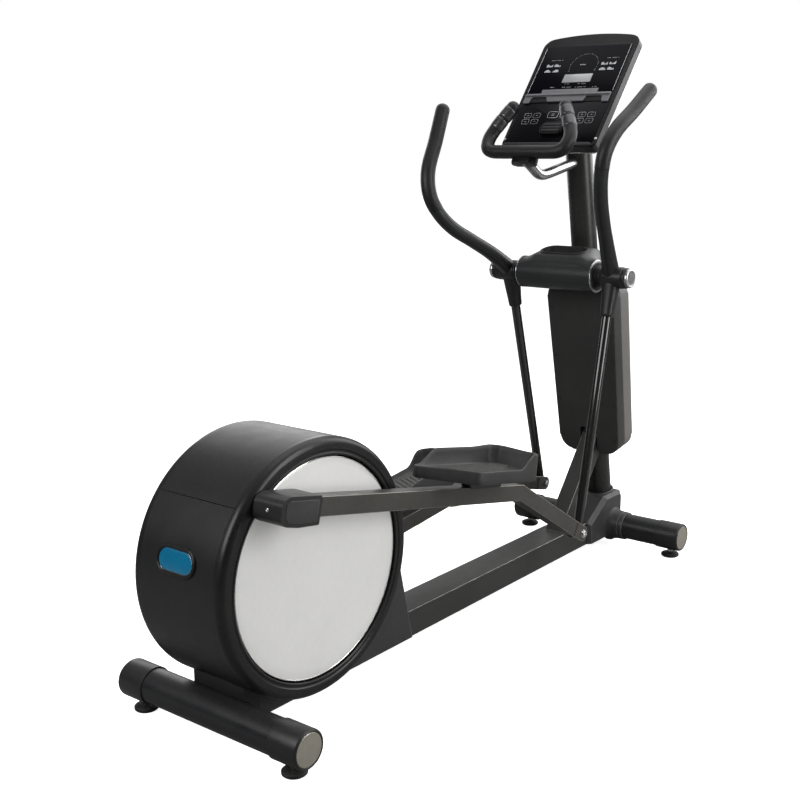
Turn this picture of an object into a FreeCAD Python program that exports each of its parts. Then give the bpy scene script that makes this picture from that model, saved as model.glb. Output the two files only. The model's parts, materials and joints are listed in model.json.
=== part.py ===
"""Elliptical trainer: a parametric FreeCAD document, one object per physical piece.

Millimetres. +Z is up, +Y points towards the console and +X to the user's right hand.
The origin is the middle of the footprint, on the floor.
"""
import FreeCAD, Part
import Sketcher
import math
import os
import re

from FreeCAD import Placement, Rotation, Vector

doc = FreeCAD.newDocument("elliptical_trainer")

# ---------------------------------------------------------------- driving dimensions
DIMENSIONS = {
    # base
    "rear_axis_y": -851, "front_axis_y": 903.5, "stabilizer_height": 71,
    "stabilizer_radius": 43, "stabilizer_wall": 2.5, "rear_half": 297.5, "front_half": 325,
    "cap_radius": 46.2, "cap_length": 86, "cap_end": 8, "insert_radius": 39, "insert_thick": 2.6,
    "foot_radius": 29.6, "foot_height": 14, "stem_radius": 5, "stem_top": 62,
    "rear_foot_x": 250, "front_foot_x": 282.5,
    "beam_width": 100, "beam_low": 36, "beam_top": 111, "beam_wall": 3,
    # drum and drive
    "crank_y": -640.5, "crank_z": 384.2, "crank_radius": 250, "crank_angle": 128.3,
    "drum_radius": 309, "drum_wall": 5, "drum_half": 145, "rim_depth": 27, "rim_inner": 266.5,
    "rim_round": 18, "seam_angle": 139.7, "seam_front_angle": -12,
    "disc_radius": 263, "disc_inner_x": 133, "disc_face_x": 140.2,
    "axle_radius": 12.45, "bearing_outer": 26, "bearing_width": 15,
    "plate_inner_x": 44, "plate_outer_x": 50, "arm_inner_x": 115, "arm_outer_x": 131,
    "pulley_radius": 125, "pulley_low_x": 60, "pulley_high_x": 82, "small_pulley_radius": 24,
    "flywheel_distance": 168, "flywheel_angle": 14, "flywheel_radius": 130,
    "flywheel_low_x": -98, "flywheel_high_x": -64,
    # moving linkage
    "pivot_y": 614.7, "pivot_z": 958.6, "swing_length": 790.5, "right_angle": -12.5,
    "left_angle": 15, "linkage_x": 187, "arm_tube_radius": 15, "link_length": 1302,
    "link_half_width": 22, "link_height": 45, "apex_along": 908, "apex_rise": 99,
    "pin_radius": 12, "hub_inner_x": 147.5, "hub_outer_x": 232,
    "pedal_inner_x": 149, "pedal_outer_x": 316, "pedal_lift": 39, "pedal_tilt": 1,
    # mast and console
    "mast_radius": 42, "mast_lean": 9.49, "mast_foot_y": 906.7, "mast_foot_z": 178.6,
    "housing_radius": 50, "housing_half": 135,
    "console_half": 171, "console_thick": 30, "console_low_y": 518, "console_low_z": 1347.7,
    "console_length": 444, "console_tilt": 51.95,
    "grip_radius": 20, "support_radius": 12.5,
}

sheet = doc.addObject("Spreadsheet::Sheet", "Dims")
for row, (alias, value) in enumerate(DIMENSIONS.items(), start=1):
    sheet.set(f"A{row}", alias)
    sheet.set(f"B{row}", str(value))
    sheet.setAlias(f"B{row}", alias)
doc.recompute()


def dim(alias):
    """The value of one cell of the sheet."""
    return float(sheet.get(alias))


# ---------------------------------------------------------------- building helpers
nodes = []


def bind(target, path, formula):
    """Bind a property to a formula whose words are aliases of the sheet."""
    text = re.sub(r"[a-z]+_[a-z_]+", lambda word: "Dims." + word.group(0), str(formula))
    target.setExpression(path, text)


def node(item, label):
    """Register an object as one finished piece of the machine."""
    item.Label = label
    nodes.append(item)
    return item


def box(size, corner, name="block"):
    """A block with the given size and lowest corner, both as formulas."""
    item = doc.addObject("Part::Box", name)
    for path, formula in zip(("Length", "Width", "Height"), size):
        bind(item, path, formula)
    for axis, formula in zip("xyz", corner):
        bind(item, "Placement.Base." + axis, formula)
    return item


TURNS = {"x": Rotation(Vector(0, 1, 0), 90), "y": Rotation(Vector(1, 0, 0), -90), "z": Rotation()}


def rod(axis, radius, length, start, name="rod"):
    """A cylinder along x, y or z from a start point, all sizes as formulas."""
    item = doc.addObject("Part::Cylinder", name)
    item.Placement = Placement(Vector(), TURNS[axis])
    bind(item, "Radius", radius)
    bind(item, "Height", length)
    for letter, formula in zip("xyz", start):
        bind(item, "Placement.Base." + letter, formula)
    return item


def cut(base, *tools):
    """Base minus all the tools."""
    result = base
    for tool in tools:
        step = doc.addObject("Part::Cut", "cut")
        step.Base, step.Tool = result, tool
        result = step
    return result


def fuse(*items):
    """The union of the items."""
    joined = doc.addObject("Part::MultiFuse", "fuse")
    joined.Shapes = list(items)
    return joined


def ring(axis, outer, inner, length, start):
    """A plain ring: a cylinder with a coaxial bore."""
    return cut(rod(axis, outer, length, start), rod(axis, inner, length, start))


def group(*items):
    """Separate solids kept in one node."""
    together = doc.addObject("Part::Compound", "group")
    together.Links = list(items)
    return together


def origin_plane(body, role):
    """One of the body's own origin planes."""
    return next(item for item in body.Origin.OriginFeatures if item.Role == role)


def new_body(label):
    """An empty PartDesign body registered as a node."""
    body = doc.addObject("PartDesign::Body", label)
    return node(body, label)


def new_sketch(body, role="XY_Plane", offset=None):
    """A sketch on an origin plane of the body, raised along the normal by a formula."""
    sketch = body.newObject("Sketcher::SketchObject", body.Name + "_profile")
    sketch.AttachmentSupport = [(origin_plane(body, role), "")]
    sketch.MapMode = "FlatFace"
    if offset is not None:
        bind(sketch, "AttachmentOffset.Base.z", offset)
    return sketch


def draw_circle(sketch, radius, centre=(0, 0)):
    """A circle with its radius bound to a formula and its centre held in place."""
    from_sheet = Part.Circle(Vector(centre[0], centre[1], 0), Vector(0, 0, 1), 10)
    index = sketch.addGeometry(from_sheet, False)
    held = sketch.addConstraint(Sketcher.Constraint("Radius", index, 10))
    bind(sketch, f"Constraints[{held}]", radius)
    sketch.addConstraint(Sketcher.Constraint("DistanceX", -1, 1, index, 3, centre[0]))
    sketch.addConstraint(Sketcher.Constraint("DistanceY", -1, 1, index, 3, centre[1]))


def draw_outline(sketch, points):
    """A closed outline through the points. A point (x, y, bulge) ends an arc, whose middle
    stands off the chord by bulge, to the left of the direction of travel when positive."""
    count = len(points)
    for index in range(count):
        start, end = points[index], points[(index + 1) % count]
        a, b = Vector(start[0], start[1], 0), Vector(end[0], end[1], 0)
        if len(end) == 3:
            chord = b - a
            side = Vector(-chord.y, chord.x, 0).normalize() * end[2]
            sketch.addGeometry(Part.Arc(a, (a + b) * 0.5 + side, b), False)
        else:
            sketch.addGeometry(Part.LineSegment(a, b), False)
    for index in range(count):
        sketch.addConstraint(Sketcher.Constraint("Block", index))


def pad(body, sketch, length, midplane=False, reverse=False):
    """Pad the sketch by a formula."""
    feature = body.newObject("PartDesign::Pad", body.Name + "_pad")
    feature.Profile = sketch
    bind(feature, "Length", length)
    if midplane:
        feature.SideType = "Symmetric"
    feature.Reversed = reverse
    return feature


def pocket(body, sketch, length, midplane=False, reverse=False):
    """Pocket the sketch by a formula, and check that it removes something."""
    doc.recompute()
    before = body.Shape.Volume
    feature = body.newObject("PartDesign::Pocket", body.Name + "_pocket")
    feature.Profile = sketch
    bind(feature, "Length", length)
    if midplane:
        feature.SideType = "Symmetric"
    feature.Reversed = reverse
    doc.recompute()
    if body.Shape.Volume > before - 1:
        raise RuntimeError("pocket cuts nothing in " + body.Label)
    return feature


def revolve(body, sketch, axis_name="V_Axis"):
    """Turn the sketch a full round about one of its own axes."""
    feature = body.newObject("PartDesign::Revolution", body.Name + "_turned")
    feature.Profile = sketch
    feature.ReferenceAxis = (sketch, [axis_name])
    feature.Angle = 360
    return feature


def runs_along(edge, axis, tolerance=0.02):
    """Whether a straight edge runs along an axis vector."""
    if edge.Curve.TypeId != "Part::GeomLine":
        return False
    first, last = edge.Vertexes[0].Point, edge.Vertexes[-1].Point
    return abs(abs((last - first).normalize().dot(axis)) - 1) < tolerance


def feature_node(label, shape, placement=None):
    """A node whose shape is worked out here from the sheet's sizes."""
    item = doc.addObject("Part::Feature", label)
    item.Shape = shape
    if placement is not None:
        item.Placement = placement.multiply(shape.Placement)
    return node(item, label)


def biggest(shape):
    """The largest solid of a shape, leaving off any sliver that a cut frees."""
    return max(shape.Solids, key=lambda solid: solid.Volume)


def prism(profile, low_x, high_x):
    """Extrude a closed (y, z) outline along X between two positions."""
    points = [Vector(low_x, y, z) for y, z in profile]
    face = Part.Face(Part.makePolygon(points + points[:1]))
    return face.extrude(Vector(high_x - low_x, 0, 0))


def tube_path(points, bend):
    """A wire of straight runs joined by tangent arcs of one bend radius."""
    edges, here = [], points[0]
    for index in range(1, len(points) - 1):
        corner = points[index]
        back = (points[index - 1] - corner).normalize()
        ahead = (points[index + 1] - corner).normalize()
        half = 0.5 * back.getAngle(ahead)
        trim = bend / math.tan(half)
        middle = (back + ahead).normalize() * (bend / math.sin(half) - bend)
        start, end = corner + back * trim, corner + ahead * trim
        edges += [Part.makeLine(here, start), Part.Arc(start, corner + middle, end).toShape()]
        here = end
    edges.append(Part.makeLine(here, points[-1]))
    return Part.Wire(edges)


def swept(path, radius):
    """A round bar along a wire."""
    first = path.Edges[0]
    start = first.valueAt(first.FirstParameter)
    direction = first.tangentAt(first.FirstParameter)
    ring_edge = Part.makeCircle(radius, start, direction)
    return path.makePipeShell([Part.Wire(ring_edge)], True, False)


def part_of_path(path, low, high):
    """The stretch of a wire between two lengths along it."""
    edges, travelled = [], 0.0
    for edge in path.Edges:
        begin, end = max(low - travelled, 0), min(high - travelled, edge.Length)
        if end - begin > 0.01:
            a, b = edge.getParameterByLength(begin), edge.getParameterByLength(end)
            edges.append(edge.Curve.toShape(min(a, b), max(a, b)))
        travelled += edge.Length
    return Part.Wire(edges)


SIDES = {"right": 1, "left": -1}

# ---------------------------------------------------------------- base frame
end_caps, cap_inserts = [], []
STEM_CLEARANCE = "stem_radius + 0.06"


def stabilizer(name, axis_y, half, foot_x):
    """One cross tube with a weld nut above each foot, and its end caps and aluminium inserts."""

    def at(x):
        """A point on the tube's axis."""
        return (x, axis_y, "stabilizer_height")

    shell = ring("x", "stabilizer_radius", "stabilizer_radius - stabilizer_wall",
                 f"2 * ({half} - cap_end)", at(f"-({half} - cap_end)"))
    holes = [rod("z", STEM_CLEARANCE, 60, (f"{sign} * {foot_x}", axis_y, 0)) for sign in (1, -1)]
    nuts = [ring("z", 9, STEM_CLEARANCE, 10, (f"{sign} * {foot_x}", axis_y, 31.7)) for sign in (1, -1)]
    node(group(cut(shell, *holes), *nuts), name + "_stabilizer_tube")
    for sign in (1, -1):
        low = f"{half} - cap_length" if sign > 0 else f"-{half}"
        bore_low = f"{half} - cap_length" if sign > 0 else f"-{half} + cap_end"
        recess_low = f"{half} - 2" if sign > 0 else f"-{half}"
        insert_low = f"{half} - 1.95" if sign > 0 else f"-{half} + 1.95 - insert_thick"
        cap = cut(rod("x", "cap_radius", "cap_length", at(low)),
                  rod("x", "stabilizer_radius + 0.05", "cap_length - cap_end", at(bore_low)),
                  rod("x", "insert_radius + 0.2", 2, at(recess_low)),
                  rod("z", STEM_CLEARANCE, 60, (f"{sign} * {foot_x}", axis_y, 0)))
        end_caps.append(cap)
        cap_inserts.append(rod("x", "insert_radius", "insert_thick", at(insert_low)))


stabilizer("rear", "rear_axis_y", "rear_half", "rear_foot_x")
stabilizer("front", "front_axis_y", "front_half", "front_foot_x")
node(group(*end_caps), "stabilizer_end_caps")
node(group(*cap_inserts), "end_cap_inserts")


def levelling_foot(name, x, y):
    """A turned rubber pad with its threaded stem and lock nut."""
    body = new_body(name)
    profile = new_sketch(body, "XZ_Plane")
    pad_radius, stem = dim("foot_radius"), dim("stem_radius")
    draw_outline(profile, [(0, 0), (pad_radius - 2, 0), (pad_radius, 3, -0.8),
                           (pad_radius, dim("foot_height") - 5), (pad_radius - 8, dim("foot_height"), -1.6),
                           (9, dim("foot_height")), (9, 22), (stem, 22), (stem, dim("stem_top")),
                           (0, dim("stem_top"))])
    revolve(body, profile)
    bind(body, "Placement.Base.x", x)
    bind(body, "Placement.Base.y", y)


for corner, x, y in (("rear_right", "rear_foot_x", "rear_axis_y"), ("rear_left", "-rear_foot_x", "rear_axis_y"),
                     ("front_right", "front_foot_x", "front_axis_y"), ("front_left", "-front_foot_x", "front_axis_y")):
    levelling_foot("levelling_foot_" + corner, x, y)

beam_outer = box(("beam_width", "front_axis_y - rear_axis_y", "beam_top - beam_low"),
                 ("-beam_width / 2", "rear_axis_y", "beam_low"))
beam_inner = box(("beam_width - 2 * beam_wall", "front_axis_y - rear_axis_y", "beam_top - beam_low - 2 * beam_wall"),
                 ("-beam_width / 2 + beam_wall", "rear_axis_y", "beam_low + beam_wall"))
saddles = [rod("x", "stabilizer_radius + 0.05", 120, (-60, line, "stabilizer_height"))
           for line in ("rear_axis_y", "front_axis_y")]
node(cut(beam_outer, beam_inner, *saddles), "main_beam")

# ---------------------------------------------------------------- drive inside the drum
crank_y, crank_z = dim("crank_y"), dim("crank_z")
fly_turn = math.radians(dim("flywheel_angle"))
fly_y = crank_y + dim("flywheel_distance") * math.cos(fly_turn)
fly_z = crank_z + dim("flywheel_distance") * math.sin(fly_turn)
beam_top = dim("beam_top")

plates = []
for side, sign in SIDES.items():
    plate = doc.addObject("PartDesign::Body", "frame_plate_" + side)
    plates.append(plate)
    outline = new_sketch(plate, "YZ_Plane", "plate_inner_x" if sign > 0 else "-plate_outer_x")
    draw_outline(outline, [(crank_y - 95, beam_top), (crank_y + 190, beam_top), (fly_y + 32, fly_z),
                           (fly_y - 20, fly_z + 28, 9), (crank_y + 16, crank_z + 38),
                           (crank_y - 38, crank_z + 14, 12)])
    pad(plate, outline, "plate_outer_x - plate_inner_x")
    holes = new_sketch(plate, "YZ_Plane", "plate_inner_x" if sign > 0 else "-plate_outer_x")
    draw_circle(holes, "bearing_outer + 4.05", (crank_y, crank_z))
    draw_circle(holes, 16.05, (fly_y, fly_z))
    pocket(plate, holes, "plate_outer_x - plate_inner_x", reverse=True)



def at_crank(x):
    """A point on the crank axis."""
    return (x, "crank_y", "crank_z")


def at_fly(x):
    """A point on the flywheel axis."""
    return (x, fly_y, fly_z)


housing_tube = ring("x", "bearing_outer + 4", "bearing_outer + 0.02", 104, at_crank(-52))
node(group(*plates, housing_tube), "drive_frame")
crank_rings = [ring("x", "bearing_outer", "axle_radius + 0.05", "bearing_width", at_crank(low))
               for low in ("52 - bearing_width", -52)]
flywheel_rings = [ring("x", 16, 8.05, 9, at_fly(low)) for low in (42, -51)]
node(group(*crank_rings, *flywheel_rings), "drive_bearings")
node(rod("x", "axle_radius", "2 * arm_outer_x", at_crank("-arm_outer_x")), "crank_axle")

crank_arms, crank_discs = [], []
for side, sign in SIDES.items():
    arm = doc.addObject("PartDesign::Body", "crank_arm_" + side)
    crank_arms.append(arm)
    low = "arm_inner_x" if sign > 0 else "-arm_outer_x"
    outline = new_sketch(arm, "YZ_Plane", low)
    length = dim("crank_radius")
    draw_outline(outline, [(0, -27, -27), (length, -20), (length, 20, -20), (0, 27)])
    pad(arm, outline, "arm_outer_x - arm_inner_x")
    bore = new_sketch(arm, "YZ_Plane", low)
    draw_circle(bore, "axle_radius + 0.02")
    pocket(arm, bore, "arm_outer_x - arm_inner_x", reverse=True)
    stud = new_sketch(arm, "YZ_Plane", "arm_outer_x" if sign > 0 else "-144")
    draw_circle(stud, "pin_radius", (length, 0))
    pad(arm, stud, "144 - arm_outer_x")
    turn = dim("crank_angle") + (0 if sign > 0 else 180)
    arm.Placement = Placement(Vector(0, crank_y, crank_z), Rotation(Vector(1, 0, 0), turn))
    at_pin = Rotation(Vector(1, 0, 0), turn).multVec(Vector(0, length, 0)) + Vector(0, crank_y, crank_z)
    disc_low = "disc_inner_x" if sign > 0 else "-disc_face_x"
    disc = cut(rod("x", "disc_radius", "disc_face_x - disc_inner_x", at_crank(disc_low)),
               rod("x", "pin_radius + 0.3", 20, (f"{sign} * 137 - 10", at_pin.y, at_pin.z)))
    crank_discs.append(disc)
node(group(*crank_arms), "crank_arms")
node(group(*crank_discs), "crank_discs")


def drive_pulley():
    """The large belt pulley on the crank axle: flanged rim, web with round holes, hub."""
    body = new_body("drive_pulley")
    profile = new_sketch(body, "XY_Plane")
    bore, outer = dim("axle_radius") + 0.02, dim("pulley_radius")
    width = dim("pulley_high_x") - dim("pulley_low_x")
    draw_outline(profile, [(bore, 0), (outer + 3, 0), (outer + 3, 2), (outer, 3), (outer, width - 3),
                           (outer + 3, width - 2), (outer + 3, width), (outer - 12, width),
                           (outer - 12, width * 0.6), (bore + 12, width * 0.6), (bore + 12, width), (bore, width)])
    revolve(body, profile)
    doc.recompute()
    hole = new_sketch(body, "XZ_Plane")
    draw_circle(hole, 22, (0.55 * (outer + bore), 0))
    first = pocket(body, hole, width * 2, midplane=True)
    pattern = body.newObject("PartDesign::PolarPattern", "drive_pulley_holes")
    pattern.Originals = [first]
    pattern.Axis = (profile, ["V_Axis"])
    pattern.Angle = 360
    pattern.Occurrences = 6
    body.Tip = pattern
    body.Placement = Placement(Vector(dim("pulley_low_x"), crank_y, crank_z), Rotation(Vector(0, 0, 1), -90))


drive_pulley()


def belt_loop(offset):
    """The outline round both pulleys, a little outside their rims, as a flat face."""
    big, small = dim("pulley_radius") + offset, dim("small_pulley_radius") + offset
    reach = dim("flywheel_distance")
    lean = math.acos((big - small) / reach)

    def place(radius, angle, shift):
        """A point on one pulley's circle."""
        return Vector(0, shift + radius * math.cos(angle), radius * math.sin(angle))

    far_big, far_small = Vector(0, -big, 0), Vector(0, reach + small, 0)
    top_big, top_small = place(big, lean, 0), place(small, lean, reach)
    low_big, low_small = place(big, -lean, 0), place(small, -lean, reach)
    wire = Part.Wire([Part.Arc(top_big, far_big, low_big).toShape(), Part.makeLine(low_big, low_small),
                      Part.Arc(low_small, far_small, top_small).toShape(), Part.makeLine(top_small, top_big)])
    return Part.Face(wire)


belt_width = Vector(14, 0, 0)
belt = belt_loop(2.9).extrude(belt_width).cut(belt_loop(0.4).extrude(belt_width))
feature_node("drive_belt", belt, Placement(Vector(dim("pulley_low_x") + 4, crank_y, crank_z),
                                           Rotation(Vector(1, 0, 0), dim("flywheel_angle"))))

shaft_parts = [rod("x", 8, 192, at_fly(-106)),
               rod("x", "small_pulley_radius", "pulley_high_x - pulley_low_x", at_fly("pulley_low_x")),
               rod("x", "small_pulley_radius + 2.2", 2.5, at_fly("pulley_low_x")),
               rod("x", "small_pulley_radius + 2.2", 2.5, at_fly("pulley_high_x - 2.5"))]
node(fuse(*shaft_parts), "flywheel_shaft")
wheel = new_body("flywheel")
profile = new_sketch(wheel, "XY_Plane")
wheel_width = dim("flywheel_high_x") - dim("flywheel_low_x")
rim = dim("flywheel_radius")
draw_outline(profile, [(8.02, 2), (28, 2), (28, 12), (rim - 34, 12), (rim - 30, 0), (rim - 2, 0), (rim, 2),
                       (rim, wheel_width - 2), (rim - 2, wheel_width), (rim - 30, wheel_width),
                       (rim - 34, wheel_width - 12), (28, wheel_width - 12), (28, wheel_width - 2),
                       (8.02, wheel_width - 2)])
revolve(wheel, profile)
wheel.Placement = Placement(Vector(dim("flywheel_low_x"), fly_y, fly_z), Rotation(Vector(0, 0, 1), -90))

# Magnetic brake: a curved shoe just outside the flywheel's rim, on a bracket of the left frame plate.
shoe_ring = Part.makeCylinder(rim + 17, 30, Vector(-96, fly_y, fly_z), Vector(1, 0, 0)).cut(
    Part.makeCylinder(rim + 3, 30, Vector(-96, fly_y, fly_z), Vector(1, 0, 0)))
shoe_span = Part.makeBox(30, 120, 150, Vector(-96, fly_y - 60, fly_z - 160))
shoe = shoe_ring.common(shoe_span)
shelf = Part.makeBox(44, 40, 12, Vector(-94.1, fly_y - 20, fly_z - rim - 22))
flange = Part.makeBox(6, 40, 46, Vector(-56.1, fly_y - 20, fly_z - rim - 56))
stand = shelf.fuse(flange).cut(Part.makeCylinder(rim + 17, 60, Vector(-110, fly_y, fly_z), Vector(1, 0, 0)))
feature_node("magnetic_brake", Part.makeCompound([shoe, biggest(stand)]))

# ---------------------------------------------------------------- drum casing
drum_r, drum_half, rim_x = dim("drum_radius"), dim("drum_half"), dim("drum_half") - dim("rim_depth")
beam_notch = Part.makeBox(dim("beam_width") + 1, 420, 225, Vector(-dim("beam_width") / 2 - 0.5, crank_y - 210, -48.5))


def drum_shell_solid():
    """The whole barrel wall between the two rims."""
    axis, start = Vector(1, 0, 0), Vector(-rim_x, crank_y, crank_z)
    outer = Part.makeCylinder(drum_r, 2 * rim_x, start, axis)
    return outer.cut(Part.makeCylinder(drum_r - dim("drum_wall"), 2 * rim_x, start, axis))


def sector(low_angle, high_angle, half_width):
    """A wedge about the crank axis, for cutting the barrel along its seams."""
    reach = drum_r * 3
    count = max(2, int((high_angle - low_angle) / 60) + 1)
    angles = [math.radians(low_angle + (high_angle - low_angle) * i / count) for i in range(count + 1)]
    outline = [(crank_y, crank_z)] + [(crank_y + reach * math.cos(a), crank_z + reach * math.sin(a)) for a in angles]
    return prism(outline, -half_width, half_width)


seam_high, seam_low = dim("seam_angle"), dim("seam_front_angle")
SEAM_GAP = 0.15  # degrees on each side of a seam
shell = drum_shell_solid()
feature_node("drum_cover_upper", shell.common(sector(seam_low + SEAM_GAP, seam_high - SEAM_GAP, 200)))
lower_shell = shell.common(sector(seam_high + SEAM_GAP, seam_low + 360 - SEAM_GAP, 200)).cut(beam_notch)

drum_rims = []
for side, sign in SIDES.items():
    body = doc.addObject("PartDesign::Body", "drum_rim_" + side)
    drum_rims.append(body)
    profile = new_sketch(body, "XY_Plane")
    inner, depth, soft = dim("rim_inner"), dim("rim_depth"), dim("rim_round")
    draw_outline(profile, [(inner, depth - 2), (inner, depth - 12), (inner + 3, depth - 12), (drum_r - 8, depth - 12),
                  (drum_r - 8, 0.1), (drum_r, 0.1), (drum_r, depth - soft), (drum_r - soft, depth, -5.27),
                  (inner + 14, depth), (inner + 11, depth - 2.5), (inner + 7, depth - 2.5), (inner + 5, depth - 0.6),
                  (inner + 2, depth - 0.6)])
    revolve(body, profile)
    quarter = Rotation(Vector(0, 0, 1), -90) if sign > 0 else Rotation(Vector(0, 0, 1), 90)
    body.Placement = Placement(Vector(sign * rim_x, crank_y, crank_z), quarter)
node(group(*drum_rims), "drum_rims")

# Fairing over the beam between the drum and its front edge.
skirt_half, skirt_wall = 56, 3


def skirt_face(inset, x):
    """The fairing's side outline, moved in by inset, with its bowed front edge."""
    corners = [Vector(x, crank_y - 150, 36.5), Vector(x, -203 - inset, 36.5), Vector(x, -258 - inset, 280 - inset),
               Vector(x, -330, 400), Vector(x, crank_y - 150, 400)]
    bow = Part.Arc(corners[1], Vector(x, -231 - inset, 160), corners[2]).toShape()
    straight = [Part.makeLine(corners[i], corners[(i + 1) % 5]) for i in (0, 2, 3, 4)]
    return Part.Face(Part.Wire([straight[0], bow] + straight[1:]))


skirt = skirt_face(0, -skirt_half).extrude(Vector(2 * skirt_half, 0, 0))
skirt = skirt.cut(skirt_face(skirt_wall, -skirt_half + skirt_wall).extrude(Vector(2 * (skirt_half - skirt_wall), 0, 0)))
skirt = skirt.cut(Part.makeCylinder(drum_r + 0.4, 400, Vector(-200, crank_y, crank_z), Vector(1, 0, 0)))
skirt = skirt.cut(Part.makeBox(101, 900, 75.5, Vector(-50.5, -900, 36)))
feature_node("beam_fairing", biggest(skirt))

# Plinth between the drum and the rear cross tube.
plinth = Part.makeBox(170, 47, 75, Vector(-85, -838, 80)).cut(
    Part.makeCylinder(drum_r - 1, 400, Vector(-200, crank_y, crank_z), Vector(1, 0, 0)))
plinth = plinth.cut(Part.makeCylinder(dim("stabilizer_radius") + 0.3, 400,
                                      Vector(-200, dim("rear_axis_y"), dim("stabilizer_height")), Vector(1, 0, 0)))
plinth = plinth.cut(Part.makeBox(101, 400, 111.3, Vector(-50.5, -905, 0)))
feature_node("drum_cover_lower", biggest(lower_shell.fuse(plinth)))


def badge_prism(width, height, thick, stand_off):
    """A racetrack-shaped plate lying on the back of the drum."""
    half, end = width / 2 - height / 2, height / 2
    points = [Vector(half, end, 0), Vector(-half, end, 0), Vector(-half, -end, 0), Vector(half, -end, 0)]
    wire = Part.Wire([Part.makeLine(points[0], points[1]),
                      Part.Arc(points[1], Vector(-half - end, 0, 0), points[2]).toShape(),
                      Part.makeLine(points[2], points[3]),
                      Part.Arc(points[3], Vector(half + end, 0, 0), points[0]).toShape()])
    plate = Part.Face(wire).extrude(Vector(0, 0, thick))
    plate.Placement = Placement(Vector(0, 0, stand_off), Rotation())
    return plate


BADGE_ANGLE = 167  # degrees round the drum from the front
badge_angle = math.radians(BADGE_ANGLE)
badge_turn = Rotation(Vector(1, 0, 0), Vector(0, -math.sin(badge_angle), math.cos(badge_angle)) * -1,
                      Vector(0, math.cos(badge_angle), math.sin(badge_angle)), "ZXY")
badge_place = Placement(Vector(0, crank_y + drum_r * math.cos(badge_angle), crank_z + drum_r * math.sin(badge_angle)),
                        badge_turn)
drum_inner = Part.makeCylinder(drum_r + 0.05, 400, Vector(-200, crank_y, crank_z), Vector(1, 0, 0))
BEZEL_SIZE, WINDOW_SIZE, PLATE_SIZE = (126, 72), (112, 58), (111.4, 57.4)
bezel = badge_prism(*BEZEL_SIZE, 9, -3)
bezel = bezel.cut(badge_prism(*WINDOW_SIZE, 9, 2))
bezel.Placement = badge_place.multiply(bezel.Placement)
feature_node("badge_bezel", bezel.cut(drum_inner))
badge = badge_prism(*PLATE_SIZE, 2.6, 2.05)
badge.Placement = badge_place.multiply(badge.Placement)
feature_node("badge_plate", badge)

# ---------------------------------------------------------------- mast
lean = math.radians(dim("mast_lean"))
mast_up = Vector(0, -math.sin(lean), math.cos(lean))
mast_back = Vector(0, -math.cos(lean), -math.sin(lean))


def mast_point(height, back=0.0, side=0.0):
    """A point on the mast axis at a height, moved towards the user by back."""
    base = Vector(0, dim("mast_foot_y"), dim("mast_foot_z"))
    along = base + mast_up * ((height - base.z) / mast_up.z)
    return along + mast_back * back + Vector(side, 0, 0)


def mast_stretch(low, high, radius):
    """A round bar on the mast axis between two heights."""
    start = mast_point(low)
    return Part.makeCylinder(radius, (mast_point(high) - start).Length, start, mast_up)


front_tube = Part.makeCylinder(dim("stabilizer_radius") + 0.1, 200,
                               Vector(-100, dim("front_axis_y"), dim("stabilizer_height")), Vector(1, 0, 0))
mast_r = dim("mast_radius")
lower_mast = mast_stretch(70, 900, mast_r).cut(mast_stretch(60, 910, mast_r - 3))
lower_mast = lower_mast.cut(front_tube)
lower_mast = lower_mast.cut(Part.makeBox(101, 300, 75.4, Vector(-50.5, 760, 36)))
feature_node("lower_mast", biggest(lower_mast))
tilt = dim("console_tilt")
console_base = Vector(0, dim("console_low_y"), dim("console_low_z"))
console_place = Placement(console_base, Rotation(Vector(1, 0, 0), tilt))
above_console = Part.makeBox(800, 1200, 900, Vector(-400, -300, -dim("console_thick") - 0.3))
above_console.Placement = console_place
upper_mast = mast_stretch(900.3, 1560, mast_r).cut(mast_stretch(890, 1570, mast_r - 3)).cut(above_console)
feature_node("upper_mast", biggest(upper_mast))

brace_low, brace_high = Vector(0, 640, beam_top), mast_point(398)
brace_run = brace_high - brace_low
brace_turn = Rotation(Vector(1, 0, 0), Vector(0, 0, 0), brace_run, "ZXY")
brace = Part.makeBox(56, 56, brace_run.Length + 60, Vector(-28, -28, -60))
brace = brace.cut(Part.makeBox(50, 50, brace_run.Length + 80, Vector(-25, -25, -70)))
brace.Placement = Placement(brace_low, brace_turn)
brace = brace.cut(mast_stretch(100, 700, mast_r + 0.1))
brace = brace.cut(Part.makeBox(400, 600, beam_top + 0.1, Vector(-200, 400, 0)))
feature_node("mast_brace", sorted(brace.Solids, key=lambda s: s.BoundBox.ZMin)[0])


def board_frame():
    """A frame on the mast axis: x to the side, y towards the user, z up the mast."""
    turn = Rotation(Vector(1, 0, 0), mast_back * -1, mast_up, "ZXY")
    return Placement(mast_point(353), turn)


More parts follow.
